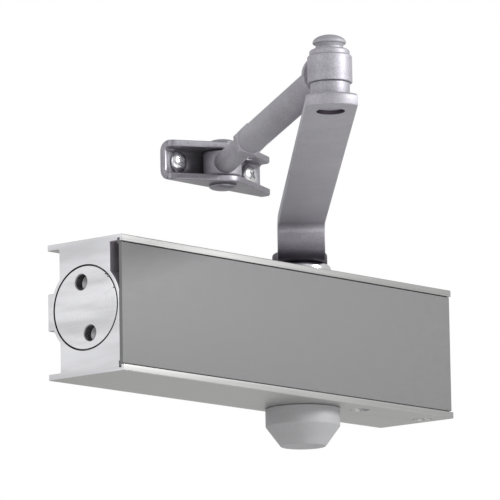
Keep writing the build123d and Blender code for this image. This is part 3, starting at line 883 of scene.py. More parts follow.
@dataclass(frozen=True)
class MouldedRubber(Finish):
    """Black seal rubber with a fine moulded skin and a dry bloom."""

    metallic: float = 0.0

    def make(self) -> Material:
        """Build the material."""
        material, sheet, shader, place = self.start()
        marks = self.group(sheet, handling_marks(), Place=place, Scale=60.0)
        skin = sheet.add("ShaderNodeTexNoise", {"Vector": place, "Scale": 3000.0, "Detail": 4.0})
        bloom = (*(c * 2.2 + 0.01 for c in self.colour), 1)
        tone = self.cover(sheet, marks.outputs["Cloud"], 0.5, self.tint(), bloom)
        sheet.feed(shader.inputs["Base Color"], tone)
        self.bump(sheet, shader, skin.outputs["Fac"], 6e-6)
        return material


def all_finishes(places: Places) -> dict[str, Material]:
    """Build every material of the closer.

    Args:
        places: Axes that the turned finishes run round.

    Returns:
        The materials by name.
    """
    plug_low, plug_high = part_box("spring_end_plug")
    plug_axis = (0.0, (plug_low.y + plug_high.y) / 2, 0.0)
    spindle_axis = (places.spindle.x, places.spindle.y, 0.0)
    quarter = math.pi / 2
    finishes = (
        GrainedMetal(
            "body_extrusion", (0.43, 0.43, 0.425), 0.42, stretch=(25, 4200, 4200), contrast=0.07
        ),
        GrainedMetal(
            "sawn_end",
            (0.79, 0.79, 0.82),
            0.3,
            stretch=(900, 40, 260),
            contrast=0.08,
            cloud=0.3,
            sheen=0.22,
        ),
        GrainedMetal(
            "cover_anodised",
            (0.19, 0.19, 0.193),
            0.62,
            metallic=0.4,
            stretch=(700, 2600, 2600),
            contrast=0.15,
        ),
        TurnedMetal(
            "plug_face", (0.84, 0.84, 0.87), 0.24, centre=plug_axis, turn=(0, quarter, 0), streaks=0.3
        ),
        TurnedMetal("zinc_plate", (0.82, 0.82, 0.84), 0.2, centre=spindle_axis, pitch=1800.0),
        TurnedMetal("ground_steel", (0.42, 0.42, 0.43), 0.3, centre=spindle_axis, pitch=4000.0),
        TurnedMetal("bearing_bronze", (0.62, 0.42, 0.2), 0.35, centre=spindle_axis, pitch=2500.0),
        SilverPaint("cap_silver", (0.36, 0.36, 0.37), 0.68, metallic=0.25, flake=0.07, wear=0.15),
        SilverPaint(
            "arm_silver",
            (0.355, 0.345, 0.38),
            0.58,
            metallic=0.6,
            flake=0.2,
            depth=2.2e-5,
            grain=0.2,
            cells=1700.0,
        ),
        SilverPaint(
            "bar_silver",
            (0.385, 0.375, 0.41),
            0.52,
            metallic=0.7,
            flake=0.16,
            grain=0.3,
            cells=2200.0,
            # Painted shade: the riser darkens to near black towards its foot, between these heights in metres.
            foot=(0.036, 0.06),
        ),
        SilverPaint(
            "shoe_silver",
            (0.27, 0.26, 0.29),
            0.36,
            metallic=0.7,
            flake=0.24,
            depth=2.4e-5,
            wear=1.0,
            cells=1900.0,
        ),
        # Painted shade: a near-black copy of the metal laid on the bore walls and on the recess round the rivet
        # end, where shade falls.
        GrainedMetal("oiled_recess", (0.11, 0.09, 0.12), 0.5, stretch=(90, 2600, 2600), contrast=0.25),
        # Painted light and shade: the pocket faces take a purple-grey copy of the body metal, its colour set to
        # give the pocket its shaded look rather than a finish of its own.
        GrainedMetal("dull_recess", (0.54, 0.51, 0.56), 0.65, stretch=(900, 900, 900), contrast=0.2),
        # Painted shade: a darker copy of the plug metal on the plug's faces off its front, so its pin-wrench holes
        # and punch marks look shaded.
        GrainedMetal("drilled_hole", (0.30, 0.30, 0.31), 0.3, stretch=(900, 900, 900), contrast=0.2),
        MouldedRubber("seal_rubber", (0.012, 0.012, 0.012), 0.7),
    )
    return {finish.name: finish.make() for finish in finishes}


# ------------------------------------------------------------------ geometry node tools
class Repeater:
    """A geometry node tree with named inputs that ends in Realize Instances and Set Material."""

    def __init__(self, name: str, inputs: dict[str, tuple[str, object]]) -> None:
        """Open a tree.

        Args:
            name: Name of the tree.
            inputs: Socket kind and value of each named input.
        """
        self.tree = bpy.data.node_groups.new(name, "GeometryNodeTree")
        self.sheet = Sheet(self.tree)
        face = self.tree.interface
        self.values = {}
        face.new_socket(name="Geometry", in_out="INPUT", socket_type="NodeSocketGeometry")
        face.new_socket(name="Geometry", in_out="OUTPUT", socket_type="NodeSocketGeometry")
        for label, (kind, value) in inputs.items():
            socket = face.new_socket(name=label, in_out="INPUT", socket_type=kind)
            self.values[socket.identifier] = value
        self.given = self.sheet.add("NodeGroupInput").outputs
        self.out = self.sheet.add("NodeGroupOutput")

    def close(self, geometry: Socket, material: Material) -> None:
        """Join a result to the tree's output."""
        real = self.sheet.add("GeometryNodeRealizeInstances", {"Geometry": geometry})
        painted = self.sheet.add("GeometryNodeSetMaterial", {"Geometry": real.outputs[0]})
        painted.inputs["Material"].default_value = material
        self.sheet.feed(self.out.inputs[0], painted.outputs[0])

    def bake(self, name: str, seed_points: Sequence[Vector] = ((0, 0, 0),)) -> Piece:
        """Run the tree on a set of points and return a plain mesh object.

        Args:
            name: Name of the new object.
            seed_points: Points that the tree starts from.

        Returns:
            The new object.
        """
        mesh = bpy.data.meshes.new(name)
        mesh.from_pydata([tuple(p) for p in seed_points], [], [])
        holder = as_object(mesh, name + "_source")
        step = holder.modifiers.new("repeat", "NODES")
        step.node_group = self.tree
        for identifier, value in self.values.items():
            step[identifier] = value
        result = frozen_mesh(holder, name)
        bpy.data.objects.remove(holder)
        finish_mesh(result)
        return as_object(result, name)


def coil_tree(
    name: str, radius: float, wire: float, length: float, turns: float, material: Material
) -> Repeater:
    """Tree that sweeps a round wire along a helix up the local Z axis.

    Args:
        name: Name of the tree.
        radius: Radius of the helix in millimetres.
        wire: Radius of the wire in millimetres.
        length: Height of the helix in millimetres.
        turns: Number of turns.
        material: Finish of the wire.

    Returns:
        The tree, ready to bake.
    """
    repeater = Repeater(
        name,
        {
            "Coil radius": (FLOAT, radius * MM),
            "Wire radius": (FLOAT, wire * MM),
            "Length": (FLOAT, length * MM),
            "Turns": (FLOAT, turns),
        },
    )
    sheet = repeater.sheet
    given = repeater.given
    spiral = sheet.add("GeometryNodeCurveSpiral", {"Resolution": 48, "Rotations": given["Turns"]})
    for label in ("Start Radius", "End Radius"):
        sheet.feed(spiral.inputs[label], given["Coil radius"])
    sheet.feed(spiral.inputs["Height"], given["Length"])
    section = sheet.add("GeometryNodeCurvePrimitiveCircle", {"Resolution": 20})
    sheet.feed(section.inputs["Radius"], given["Wire radius"])
    swept = sheet.add(
        "GeometryNodeCurveToMesh",
        {"Curve": spiral.outputs[0], "Profile Curve": section.outputs[0], "Fill Caps": True},
    )
    repeater.close(swept.outputs[0], material)
    return repeater


def copies_tree(name: str, pattern: Piece, material: Material) -> Repeater:
    """Tree that puts a copy of one piece on every point.

    Args:
        name: Name of the tree.
        pattern: The piece to copy, with its own origin at the point.
        material: Finish of the copies.

    Returns:
        The tree, ready to bake.
    """
    repeater = Repeater(
        name,
        {
            "Piece": ("NodeSocketObject", pattern),
            "Turn": (FLOAT, 0.0),
            "Seed": ("NodeSocketInt", SEED),
        },
    )
    sheet = repeater.sheet
    given = repeater.given
    info = sheet.add("GeometryNodeObjectInfo", {"Object": given["Piece"]})
    spin = sheet.add("FunctionNodeRandomValue", data_type="FLOAT")
    floats = [s for s in spin.inputs if s.type == "VALUE"]
    floats[0].default_value = 0.0
    sheet.feed(floats[1], given["Turn"])
    sheet.feed(spin.inputs["Seed"], given["Seed"])
    value = next(s for s in spin.outputs if s.type == "VALUE" and s.enabled)
    angles = sheet.add("ShaderNodeCombineXYZ", {1: value})
    placed = sheet.add(
        "GeometryNodeInstanceOnPoints",
        {"Points": given["Geometry"], "Instance": info.outputs["Geometry"], "Rotation": angles.outputs[0]},
    )
    repeater.close(placed.outputs[0], material)
    return repeater


# ------------------------------------------------------------------ sub-assemblies
@dataclass
class SubAssembly:
    """Shared ways to finish the pieces of one sub-assembly."""

    places: Places
    finishes: dict[str, Material]

    def dress(self, piece: Piece, finish: str, slot: Slot, body: Body, *nodes: str) -> Piece:
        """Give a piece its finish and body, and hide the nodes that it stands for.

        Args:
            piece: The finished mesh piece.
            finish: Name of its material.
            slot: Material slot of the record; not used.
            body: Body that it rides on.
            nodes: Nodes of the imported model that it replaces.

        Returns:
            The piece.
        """
        piece.data.materials.clear()
        piece.data.materials.append(self.finishes[finish])
        if nodes:
            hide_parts(*nodes)
        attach(piece, body.value)
        LOG.info("%s: %d faces on %s", piece.name, len(piece.data.polygons), body.value)
        return piece

    def paint(self, piece: Piece, finish: str, chosen: Callable[[Face], bool]) -> None:
        """Give some faces of a piece a second finish.

        Args:
            piece: The dressed piece.
            finish: Name of the second finish.
            chosen: Says whether a face takes it.
        """
        piece.data.materials.append(self.finishes[finish])
        index = len(piece.data.materials) - 1
        for face in piece.data.polygons:
            if chosen(face):
                face.material_index = index


@dataclass
class BodyShell(SubAssembly):
    """Extruded housing with its bore, holes and machined ends."""

    flange: float = 2.7
    lip: float = 3.2
    lip_t: float = 1.5
    groove_w: float = 1.2
    groove_reach: float = 1.0
    groove_drop: float = 1.2
    web_back: float = -7.0
    web_front: float = -36.9
    lower_front: float = -42.0
    pad: float = 8.2
    boss_r: float = 20.6
    bore_y: float = -22.2
    bore_r: float = 16.5
    seat_r: float = 18.9
    seat_l: float = 14.0
    spindle_hole_r: float = 9.8
    valve_hole_r: float = 3.5
    valve_depth: float = 14.5
    fix_r: float = 2.75
    sink_r: float = 4.8
    sink_depth: float = 2.6
    mouth: float = 1.1
    chamfer: float = 0.12
    slack: float = 0.2
    edge: float = 0.3

    def section(self, half: float, depth: float) -> list[Point2]:
        """Cross-section of the extrusion.

        Args:
            half: Half height of the body in millimetres.
            depth: Depth of the body in millimetres.

        Returns:
            The outline as (depth, height) points.
        """
        inner = half - self.flange
        lip_low = half - self.lip
        groove_top = inner + self.groove_reach
        groove_low = lip_low - self.groove_drop
        lip_back = -depth + self.lip_t
        groove_back = lip_back + self.groove_w

        def on_boss(y: float) -> float:
            """Height where the boss circle passes a depth."""
            return math.sqrt(self.boss_r**2 - (y - self.bore_y) ** 2)

        def boss_angle(y: float) -> float:
            """Angle on the boss circle at a depth, in degrees."""
            return math.degrees(math.atan2(on_boss(y), y - self.bore_y))

        pad_y = self.bore_y + math.sqrt(self.boss_r**2 - self.pad**2)
        centre = (self.bore_y, 0.0)
        back = arc(centre, self.boss_r, boss_angle(self.web_back), boss_angle(pad_y), 5)
        upper = rounded(
            [
                (-depth, lip_low, 0.25),
                (-depth, half, 0.5),
                (0, half, 0.5),
                (0, inner, 0.5),
                (self.web_back, inner, 0.7),
                (*back[0], 0),
            ],
            closed=False,
        )
        upper = [(-depth, lip_low + 0.25)] + upper[1:]
        pad = rounded(
            [(*back[-1], 0), (0, self.pad, 0.4), (0, -self.pad, 0.4), (back[-1][0], -back[-1][1], 0)],
            closed=False,
        )
        lower = [(y, -z) for y, z in reversed(upper)]
        groove_lower = [
            (lip_back, -lip_low),
            (lip_back, -groove_top),
            (groove_back, -groove_top),
            (groove_back, -groove_low),
            (self.lower_front, -groove_low),
        ]
        front = arc(centre, self.boss_r, boss_angle(self.lower_front), boss_angle(self.web_front), 6)
        groove_upper = [
            (self.web_front, inner),
            (groove_back, inner),
            (groove_back, groove_top),
            (lip_back, groove_top),
            (lip_back, lip_low),
        ]
        outline = upper + back[1:-1] + pad
        outline += [(y, -z) for y, z in reversed(back[:-1])][0:-1]
        outline += lower + groove_lower + front + groove_upper
        return outline

    def build(self) -> None:
        """Make the housing and cut its holes."""
        low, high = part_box("housing")
        half = high.z / MM
        left = low.x / MM
        right = high.x / MM
        outline = self.section(half, -low.y / MM)
        shell = extruded("housing_shell", outline, axis_x(0, 0, 0), left, right, self.edge)
        bore = [
            (0, left - 1),
            (self.seat_r + self.mouth, left - 1),
            (self.seat_r, left + self.chamfer),
            (self.seat_r, left + self.seat_l),
            (self.bore_r, left + self.seat_l),
            (self.bore_r, right - self.seat_l),
            (self.seat_r, right - self.seat_l),
            (self.seat_r, right - self.chamfer),
            (self.seat_r + self.mouth, right + 1),
            (0, right + 1),
        ]
        combine(shell, turned("bore_cut", bore, axis_x(0, self.bore_y * MM, 0), 128))
        spot = upright(self.places.spindle)
        combine(shell, bar("spindle_cut", self.spindle_hole_r, -half - 1, half + 1, spot))
        for valve in (self.places.closing, self.places.latching):
            self.cut_valve_hole(shell, valve, half)
        mount = next(m for m in frame["record"]["mounts"] if m["name"] == "door_fixing_holes")
        dx = mount["dims"]["spacing_x_mm"] / 2
        dz = mount["dims"]["spacing_y_mm"] / 2
        for x in (-dx, dx):
            for z in (-dz, dz):
                spot = axis_y(x * MM, 0, z * MM)
                combine(shell, bar("fixing_cut", self.fix_r, -50, 1, spot))
            spot = axis_y(x * MM, 0, -dz * MM)
            floor = self.lower_front + self.sink_depth
            combine(shell, bar("sink_cut", self.sink_r, self.lower_front - 1, floor, spot))
        self.dress(shell, "body_extrusion", Slot.BODY, Body.CLOSER, "housing")
        self.paint_faces(shell, half)

    def cut_valve_hole(self, shell: Piece, valve: Vector, half: float) -> None:
        """Cut one countersunk hole for a regulating screw in the underside."""
        floor = -half + self.valve_depth
        mouth = [
            (0, -half - 1),
            *((self.valve_hole_r + out, -half + rise) for out, rise in VALVE_MOUTH),
            (self.valve_hole_r, floor),
            (0, floor),
        ]
        combine(shell, turned("valve_cut", mouth, upright(valve), 48))

    def paint_faces(self, shell: Piece, half: float) -> None:
        """Give the sawn ends their own finish, paint shade into the bores and give the front pocket a colour that
        stands in for its shade.
        """
        pocket_back = (self.web_front + self.slack) * MM
        pocket_front = (self.lower_front + self.slack) * MM
        pocket_top = (half - self.flange + self.slack) * MM
        bore_wall = (self.seat_r + self.slack) * MM

        def in_pocket(face: Face) -> bool:
            """Whether a face lies in the pocket behind the cover plate."""
            spot = face.center
            return pocket_front < spot.y < pocket_back and 0 < spot.z < pocket_top

        def in_bore(face: Face) -> bool:
            """Whether a face lies in the bore, away from the ends."""
            spot = face.center
            return math.hypot(spot.y - self.bore_y * MM, spot.z) < bore_wall

        # Painted shade: faces inside the bore take the near-black shaded copy of the metal.
        self.paint(shell, "oiled_recess", in_bore)
        # Pocket faces take the copy of the metal whose colour stands in for the pocket's shade.
        self.paint(shell, "dull_recess", in_pocket)
        self.paint(shell, "sawn_end", lambda face: abs(face.normal.x) > 0.9)


@dataclass
class CoverPlate(SubAssembly):
    """Front plate with its two sliding tongues."""

    thick: float = 1.6
    clear: float = 0.2
    tongue_t: float = 0.9
    tongue_root: float = 1.0
    tongue_gap: float = 0.1
    edge: float = 0.15

    def build(self) -> None:
        """Make the plate from its cross-section."""
        low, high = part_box("cover_plate")
        shell = BodyShell(self.places, self.finishes)
        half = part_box("housing")[1].z / MM
        front = low.y / MM
        edge_z = half - shell.lip - self.clear
        reach = high.z / MM
        inner = half - shell.lip - self.tongue_root
        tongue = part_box("housing")[0].y / MM + shell.lip_t + self.tongue_gap
        corners = []
        for side in (1, -1):
            step = [
                (front, side * edge_z, 0.25),
                (tongue, side * edge_z, 0),
                (tongue, side * reach, 0.15),
                (tongue + self.tongue_t, side * reach, 0.15),
                (tongue + self.tongue_t, side * inner, 0),
                (front + self.thick, side * inner, 0),
            ]
            corners += step if side > 0 else step[::-1]
        outline = rounded(corners, steps=3)
        left, right = low.x / MM, high.x / MM
        plate = extruded("cover_panel", outline, axis_x(0, 0, 0), left, right, self.edge)
        self.dress(plate, "cover_anodised", Slot.COVER, Body.COVER, "cover_plate")


@dataclass
class EndPlug(SubAssembly):
    """Threaded end plug with two pin-wrench holes and punch marks that lock it."""

    end: End = End.SPRING
    hole_r: float = 3.35
    hole_depth: float = 6.0
    hole_ring: float = 11.7
    hole_tilt: float = 12.0
    gap: float = 0.5
    head_t: float = 1.5
    chamfer: float = 0.4
    hole_cone: float = 1.6
    groove_depth: float = 1.9
    groove_span: Point2 = (1.5, 3.7)

    def build(self) -> None:
        """Make one plug."""
        node = f"{self.end.name.lower()}_end_plug"
        low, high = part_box(node)
        radius = (high.z - low.z) / 2 / MM
        depth = (high.x - low.x) / MM
        side = self.end.value
        face = high.x if side > 0 else low.x
        axis = axis_x(face, (low.y + high.y) / 2, 0)
        if side < 0:
            axis = axis @ Matrix.Rotation(math.pi, 4, "X")
        head = radius - self.gap
        groove_r = radius - self.groove_depth
        groove_in, groove_out = self.groove_span
        corners = [
            (0, 0, 0),
            (head, 0, 0.35),
            (head, -self.head_t, 0),
            (radius, -self.head_t - 0.1, 0),
            (radius, -depth + groove_out, 0),
            (groove_r, -depth + groove_out, 0),
            (groove_r, -depth + groove_in, 0),
            (radius, -depth + groove_in, 0),
            (radius, -depth, 0.6),
            (0, -depth, 0),
        ]
        plug = turned(node.replace("_end", "") + "_turned", rounded(corners, closed=False), axis, 144)
        hole = [
            (0, 1),
            (self.hole_r + 1 + self.chamfer, 1),
            (self.hole_r, -self.chamfer),
            (self.hole_r, -self.hole_depth + self.hole_cone),
            (0, -self.hole_depth),
        ]
        for turn in (self.hole_tilt, self.hole_tilt + 180):
            y = self.hole_ring * math.sin(math.radians(turn)) * MM
            z = self.hole_ring * math.cos(math.radians(turn)) * MM
            spot = Matrix.Translation((0, y, z)) @ axis
            combine(plug, turned("pin_hole_cut", hole, spot, 48))
        for turn in PUNCH_TURNS[self.end]:
            self.punch(plug, axis, head, turn)
        self.dress(plug, "plug_face", Slot.TURNED, Body.CLOSER, node)
        front = axis.translation.x
        # Painted shade: faces off the plug's front face, its holes and punch marks among them, take the darker
        # copy.
        self.paint(plug, "drilled_hole", lambda face: abs(face.center.x - front) > 0.05 * MM)

    def punch(self, plug: Piece, axis: Matrix, radius: float, turn: float) -> None:
        """Cut one small punch mark in the rim of the plug."""
        spot = axis @ Matrix.Rotation(math.radians(turn), 4, "Z") @ Matrix.Translation((radius * MM, 0, 0))
        combine(plug, turned("punch_cut", PUNCH_MARK, spot, 10))


@dataclass
class SpindleStack(SubAssembly):
    """What shows round the spindle: the plated ring, the cap below and the arm's fixing."""

    ring_corner: float = 2.2
    cap_cylinder: float = 8.2
    cap_tip_r: float = 10.2
    cap_wall: float = 1.8
    snap_r: float = 9.85
    snap_wall: float = 1.4
    ring_bore: float = 7.6
    washer_bore: float = 2.75
    screw_flats: float = 10.0
    shank_r: float = 2.5

    def build(self) -> None:
        """Make the ring, the cap, the washer and the screw."""
        self.ring()
        self.cap()
        self.washer_and_screw()

    @property
    def axis(self) -> Matrix:
        """Frame up the spindle."""
        return upright(self.places.spindle)

    def ring(self) -> None:
        """Plated collar with a rounded shoulder."""
        radius, base, top = round_extent(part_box("spindle_ring"))
        radii = (0.2, 0.3, self.ring_corner, 0.4)
        ring = sleeve("spindle_collar", self.ring_bore, radius, (base, top), radii, self.axis, 112, 8)
        self.dress(ring, "zinc_plate", Slot.PLATED, Body.CLOSER, "spindle_ring")

    def cap(self) -> None:
        """Cap: a cylinder, then a cone, hollow above, with a snap sleeve inside."""
        radius, tip, top = round_extent(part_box("spindle_cap"))
        shoulder = top + 0.1 - self.cap_cylinder
        wall = self.cap_wall
        snap = self.snap_r
        snap_out = snap + self.snap_wall
        corners = [
            (0, tip, 0),
            (self.cap_tip_r, tip, 0.9),
            (radius, shoulder, 0.9),
            (radius, top, 0.35),
            (radius - wall, top, 0.3),
            (radius - wall, shoulder + wall * 0.4, 0.5),
            (snap_out, tip + wall + 1.5, 0.3),
            (snap_out, top - 0.2, 0.2),
            (snap, top - 0.2, 0.2),
            (snap, tip + wall + 0.4, 0),
            (0, tip + wall, 0),
        ]
        cap = turned("spindle_cover_cap", rounded(corners, closed=False, steps=6), self.axis, 112)
        self.dress(cap, "cap_silver", Slot.CAP, Body.CLOSER, "spindle_cap")

    def washer_and_screw(self) -> None:
        """Washer and hexagon screw on top of the arm's foot."""
        radius, low, base = round_extent(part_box("arm_washer"))
        span = (low, base)
        radii = (0, 0.3, 0.3, 0.2)
        washer = sleeve("clamp_washer", self.washer_bore, radius, span, radii, self.axis, 80, 3)
        self.dress(washer, "zinc_plate", Slot.PLATED, Body.ARM, "arm_washer")
        _, foot, top = round_extent(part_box("arm_screw"))
        head = hexagon("clamp_screw", self.screw_flats, base, top, self.axis, 0.6)
        shank = bar("shank", self.shank_r, foot, base + 1, self.axis)
        combine(head, shank, "UNION")
        self.dress(head, "zinc_plate", Slot.PLATED, Body.ARM, "arm_screw")


def hexagon(
    name: str, flats: float, low: float, high: float, axis: Matrix, chamfer: float
) -> Piece:
    """Hexagon prism with its corners turned down at both ends, as on a nut or screw head.

    Args:
        name: Name of the new object.
        flats: Width across flats in millimetres.
        low: Lower end.
        high: Upper end.
        axis: Frame of the axis.
        chamfer: Height of the turned-down corners.

    Returns:
        The new object.
    """
    corner = flats / math.sqrt(3)
    outline = arc((0, 0), corner, 0, 300, 5)
    prism = extruded(name, outline, axis, low, high, 0.12)
    inner = flats / 2 * 0.97
    profile = [
        (0, low),
        (inner, low),
        (corner + 0.05, low + chamfer),
        (corner + 0.05, high - chamfer),
        (inner, high),
        (0, high),
    ]
    return combine(prism, turned("chamfer_cut", profile, axis, 72), "INTERSECT")


@dataclass
class RegulatingValves(SubAssembly):
    """The two slotted regulating screws in the underside."""

    slot_width: float = 1.1
    slot_depth: float = 1.4
    slot_reach: float = 6.0
    seal_groove: Point2 = (3.8, 5.6)
    groove_depth: float = 1.1
    cone: float = 3.0
    cone_r: float = 2.6
    tip_r: float = 0.8

    def build(self) -> None:
        """Make both screws."""
        for node, body, spot, turn in (
            ("closing_valve", Body.CLOSING_VALVE, self.places.closing, 58),
            ("latching_valve", Body.LATCHING_VALVE, self.places.latching, 24),
        ):
            self.screw(node, body, spot, turn)

    def screw(self, node: str, body: Body, spot: Vector, turn: float) -> None:
        """Make one screw.

        Args:
            node: Node that it replaces.
            body: Body that it rides on.
            spot: Point on its axis.
            turn: Angle of its slot at rest, in degrees.
        """
        radius, base, top = round_extent(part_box(node))
        groove_low, groove_high = self.seal_groove
        corners = [
            (0, base, 0),
            (radius, base, 0.45),
            (radius, base + groove_low, 0),
            (radius - self.groove_depth, base + groove_low, 0),
            (radius - self.groove_depth, base + groove_high, 0),
            (radius, base + groove_high, 0),
            (radius, top - self.cone, 0.2),
            (self.cone_r, top - self.cone, 0),
            (self.tip_r, top, 0.3),
            (0, top, 0),
        ]
        axis = upright(spot)
        screw = turned(node + "_screw", rounded(corners, closed=False, steps=3), axis, 56)
        groove = rectangle(self.slot_width / 2, self.slot_reach)
        place = axis @ Matrix.Rotation(math.radians(turn), 4, "Z")
        combine(screw, extruded("slot_cut", groove, place, base - 1, base + self.slot_depth))
        self.dress(screw, "zinc_plate", Slot.PLATED, body, node)


@dataclass
class MainArm(SubAssembly):
    """Cranked flat bar: foot on the spindle, riser, long sloping run and round nose."""

    width: float = 21.5
    thick: float = 5.3
    foot_r: float = 12.6
    riser_u: float = 17.6
    long_z0: float = 52.0
    long_z1: float = 59.3
    nose_r: float = 15.0
    low_bend: float = 6.0
    high_bend: float = 4.0
    top_edge: float = 1.5
    low_edge: float = 0.45
    rivet_hole_r: float = 5.0
    recess_r: float = 6.0
    recess_depth: float = 1.8
    square: float = 11.1
    foot_cut: Point2 = (30, 45)
    nose_cut: Point2 = (50, 80)
    end_steps: int = 16
    run_steps: int = 12

    def path(self) -> list[Point2]:
        """Underside of the bar as (along, height) points, bends rounded."""
        length = self.places.arm_length
        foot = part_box("main_arm")[0].z / MM
        slope = (self.long_z1 - self.long_z0) / (length - self.riser_u)
        tail = length + self.nose_r
        corners = [
            (-self.foot_r, foot, 0),
            (self.riser_u, foot, self.low_bend),
            (self.riser_u, self.long_z0, self.high_bend),
            (tail, self.long_z0 + slope * (tail - self.riser_u), 0),
        ]
        return rounded(corners, closed=False, steps=10)

    def plan(self, inset: float, path: Sequence[Point2]) -> list[Point2]:
        """Plan of the bar laid flat.

        Args:
            inset: How far the outline is drawn in.
            path: Line of the underside.

        Returns:
            (distance along the path, half width) from the foot's tip to the nose's tip.
        """
        side = self.width / 2 - inset
        foot_r = self.foot_r - inset
        nose_r = self.nose_r - inset
        runs = [0.0]
        for here, after in zip(path, path[1:]):
            runs.append(runs[-1] + (Vector(after) - Vector(here)).length)
        foot_at = self.foot_r
        nose_at = runs[-1] - self.nose_r
        steps = self.end_steps
        foot_open = math.pi - math.asin(side / foot_r)
        stations = []
        for k in range(steps + 1):
            turn = foot_open * k / steps
            stations.append((foot_at - foot_r * math.cos(turn), foot_r * math.sin(turn)))
        if stations[-1][0] >= runs[1]:
            raise ValueError("the foot reaches past the first bend")
        stations += [(run, side) for run in runs[1:-1]]
        nose_open = math.asin(side / nose_r)
        last = nose_at + nose_r * math.cos(nose_open)
        cuts = self.run_steps
        stations += [(runs[-2] + (last - runs[-2]) * k / cuts, side) for k in range(1, cuts)]
        for k in range(steps + 1):
            turn = nose_open * (1 - k / steps)
            stations.append((nose_at + nose_r * math.cos(turn), nose_r * math.sin(turn)))
        return stations

    def layer(self, rise: float, inset: float, path: Sequence[Point2], place: Matrix) -> list[Vector]:
        """Outline of the bar at one height above its underside.

        Args:
            rise: Height in the thickness of the bar.
            inset: How far the outline is drawn in.
            path: Line of the underside.
            place: Frame of the arm.

        Returns:
            The points round the outline, in metres.
        """
        stations = self.plan(inset, path)
        left = []
        right = []
        for run, half in stations:
            here, up = along_path(path, run)
            spot = here + up * rise
            left.append(place @ (Vector((spot.x, half, spot.y)) * MM))
            right.append(place @ (Vector((spot.x, -half, spot.y)) * MM))
        return left + right[-2:0:-1]

    def build(self) -> None:
        """Make the bar, then cut the square hole, the rivet hole and the recess."""
        place = upright(self.places.spindle)
        place = place @ Matrix.Rotation(self.places.arm_turn, 4, "Z")
        path = self.path()
        layers = []
        for base, radius, start in (
            (self.low_edge, self.low_edge, 270),
            (self.thick - self.top_edge, self.top_edge, 0),
        ):
            for k in range(5):
                turn = math.radians(start + 90 * k / 4)
                layers.append((base + radius * math.sin(turn), radius * (1 - math.cos(turn))))
        rings = [self.layer(rise, inset, path, place) for rise, inset in layers]
        arm = from_rings("main_arm_bar", rings, fold=0)
        length = self.places.arm_length
        elbow = place @ Matrix.Translation((length * MM, 0, 0))
        nose_low, nose_high = self.nose_cut
        combine(arm, bar("rivet_cut", self.rivet_hole_r, nose_low, nose_high, elbow))
        recess_top = self.long_z1 + self.recess_depth
        combine(arm, bar("recess_cut", self.recess_r, nose_low, recess_top, elbow))
        hole = rectangle(self.square / 2, self.square / 2)
        combine(arm, extruded("square_cut", hole, place, *self.foot_cut))
        self.dress(arm, "bar_silver", Slot.ARM, Body.ARM, "main_arm")
        middle = elbow.translation
        limit = (self.recess_r + 0.2) * MM
        ceiling = (self.long_z1 + self.recess_depth + 0.1) * MM

        def in_recess(face: Face) -> bool:
            """Whether a face is the wall of the recess round the end of the rivet."""
            spot = face.center
            near = math.hypot(spot.x - middle.x, spot.y - middle.y) < limit
            return near and self.long_z1 * MM < spot.z < ceiling and abs(face.normal.z) < 0.5

        # Painted shade: the recess wall round the rivet end takes the near-black shaded copy of the metal.
        self.paint(arm, "oiled_recess", in_recess)


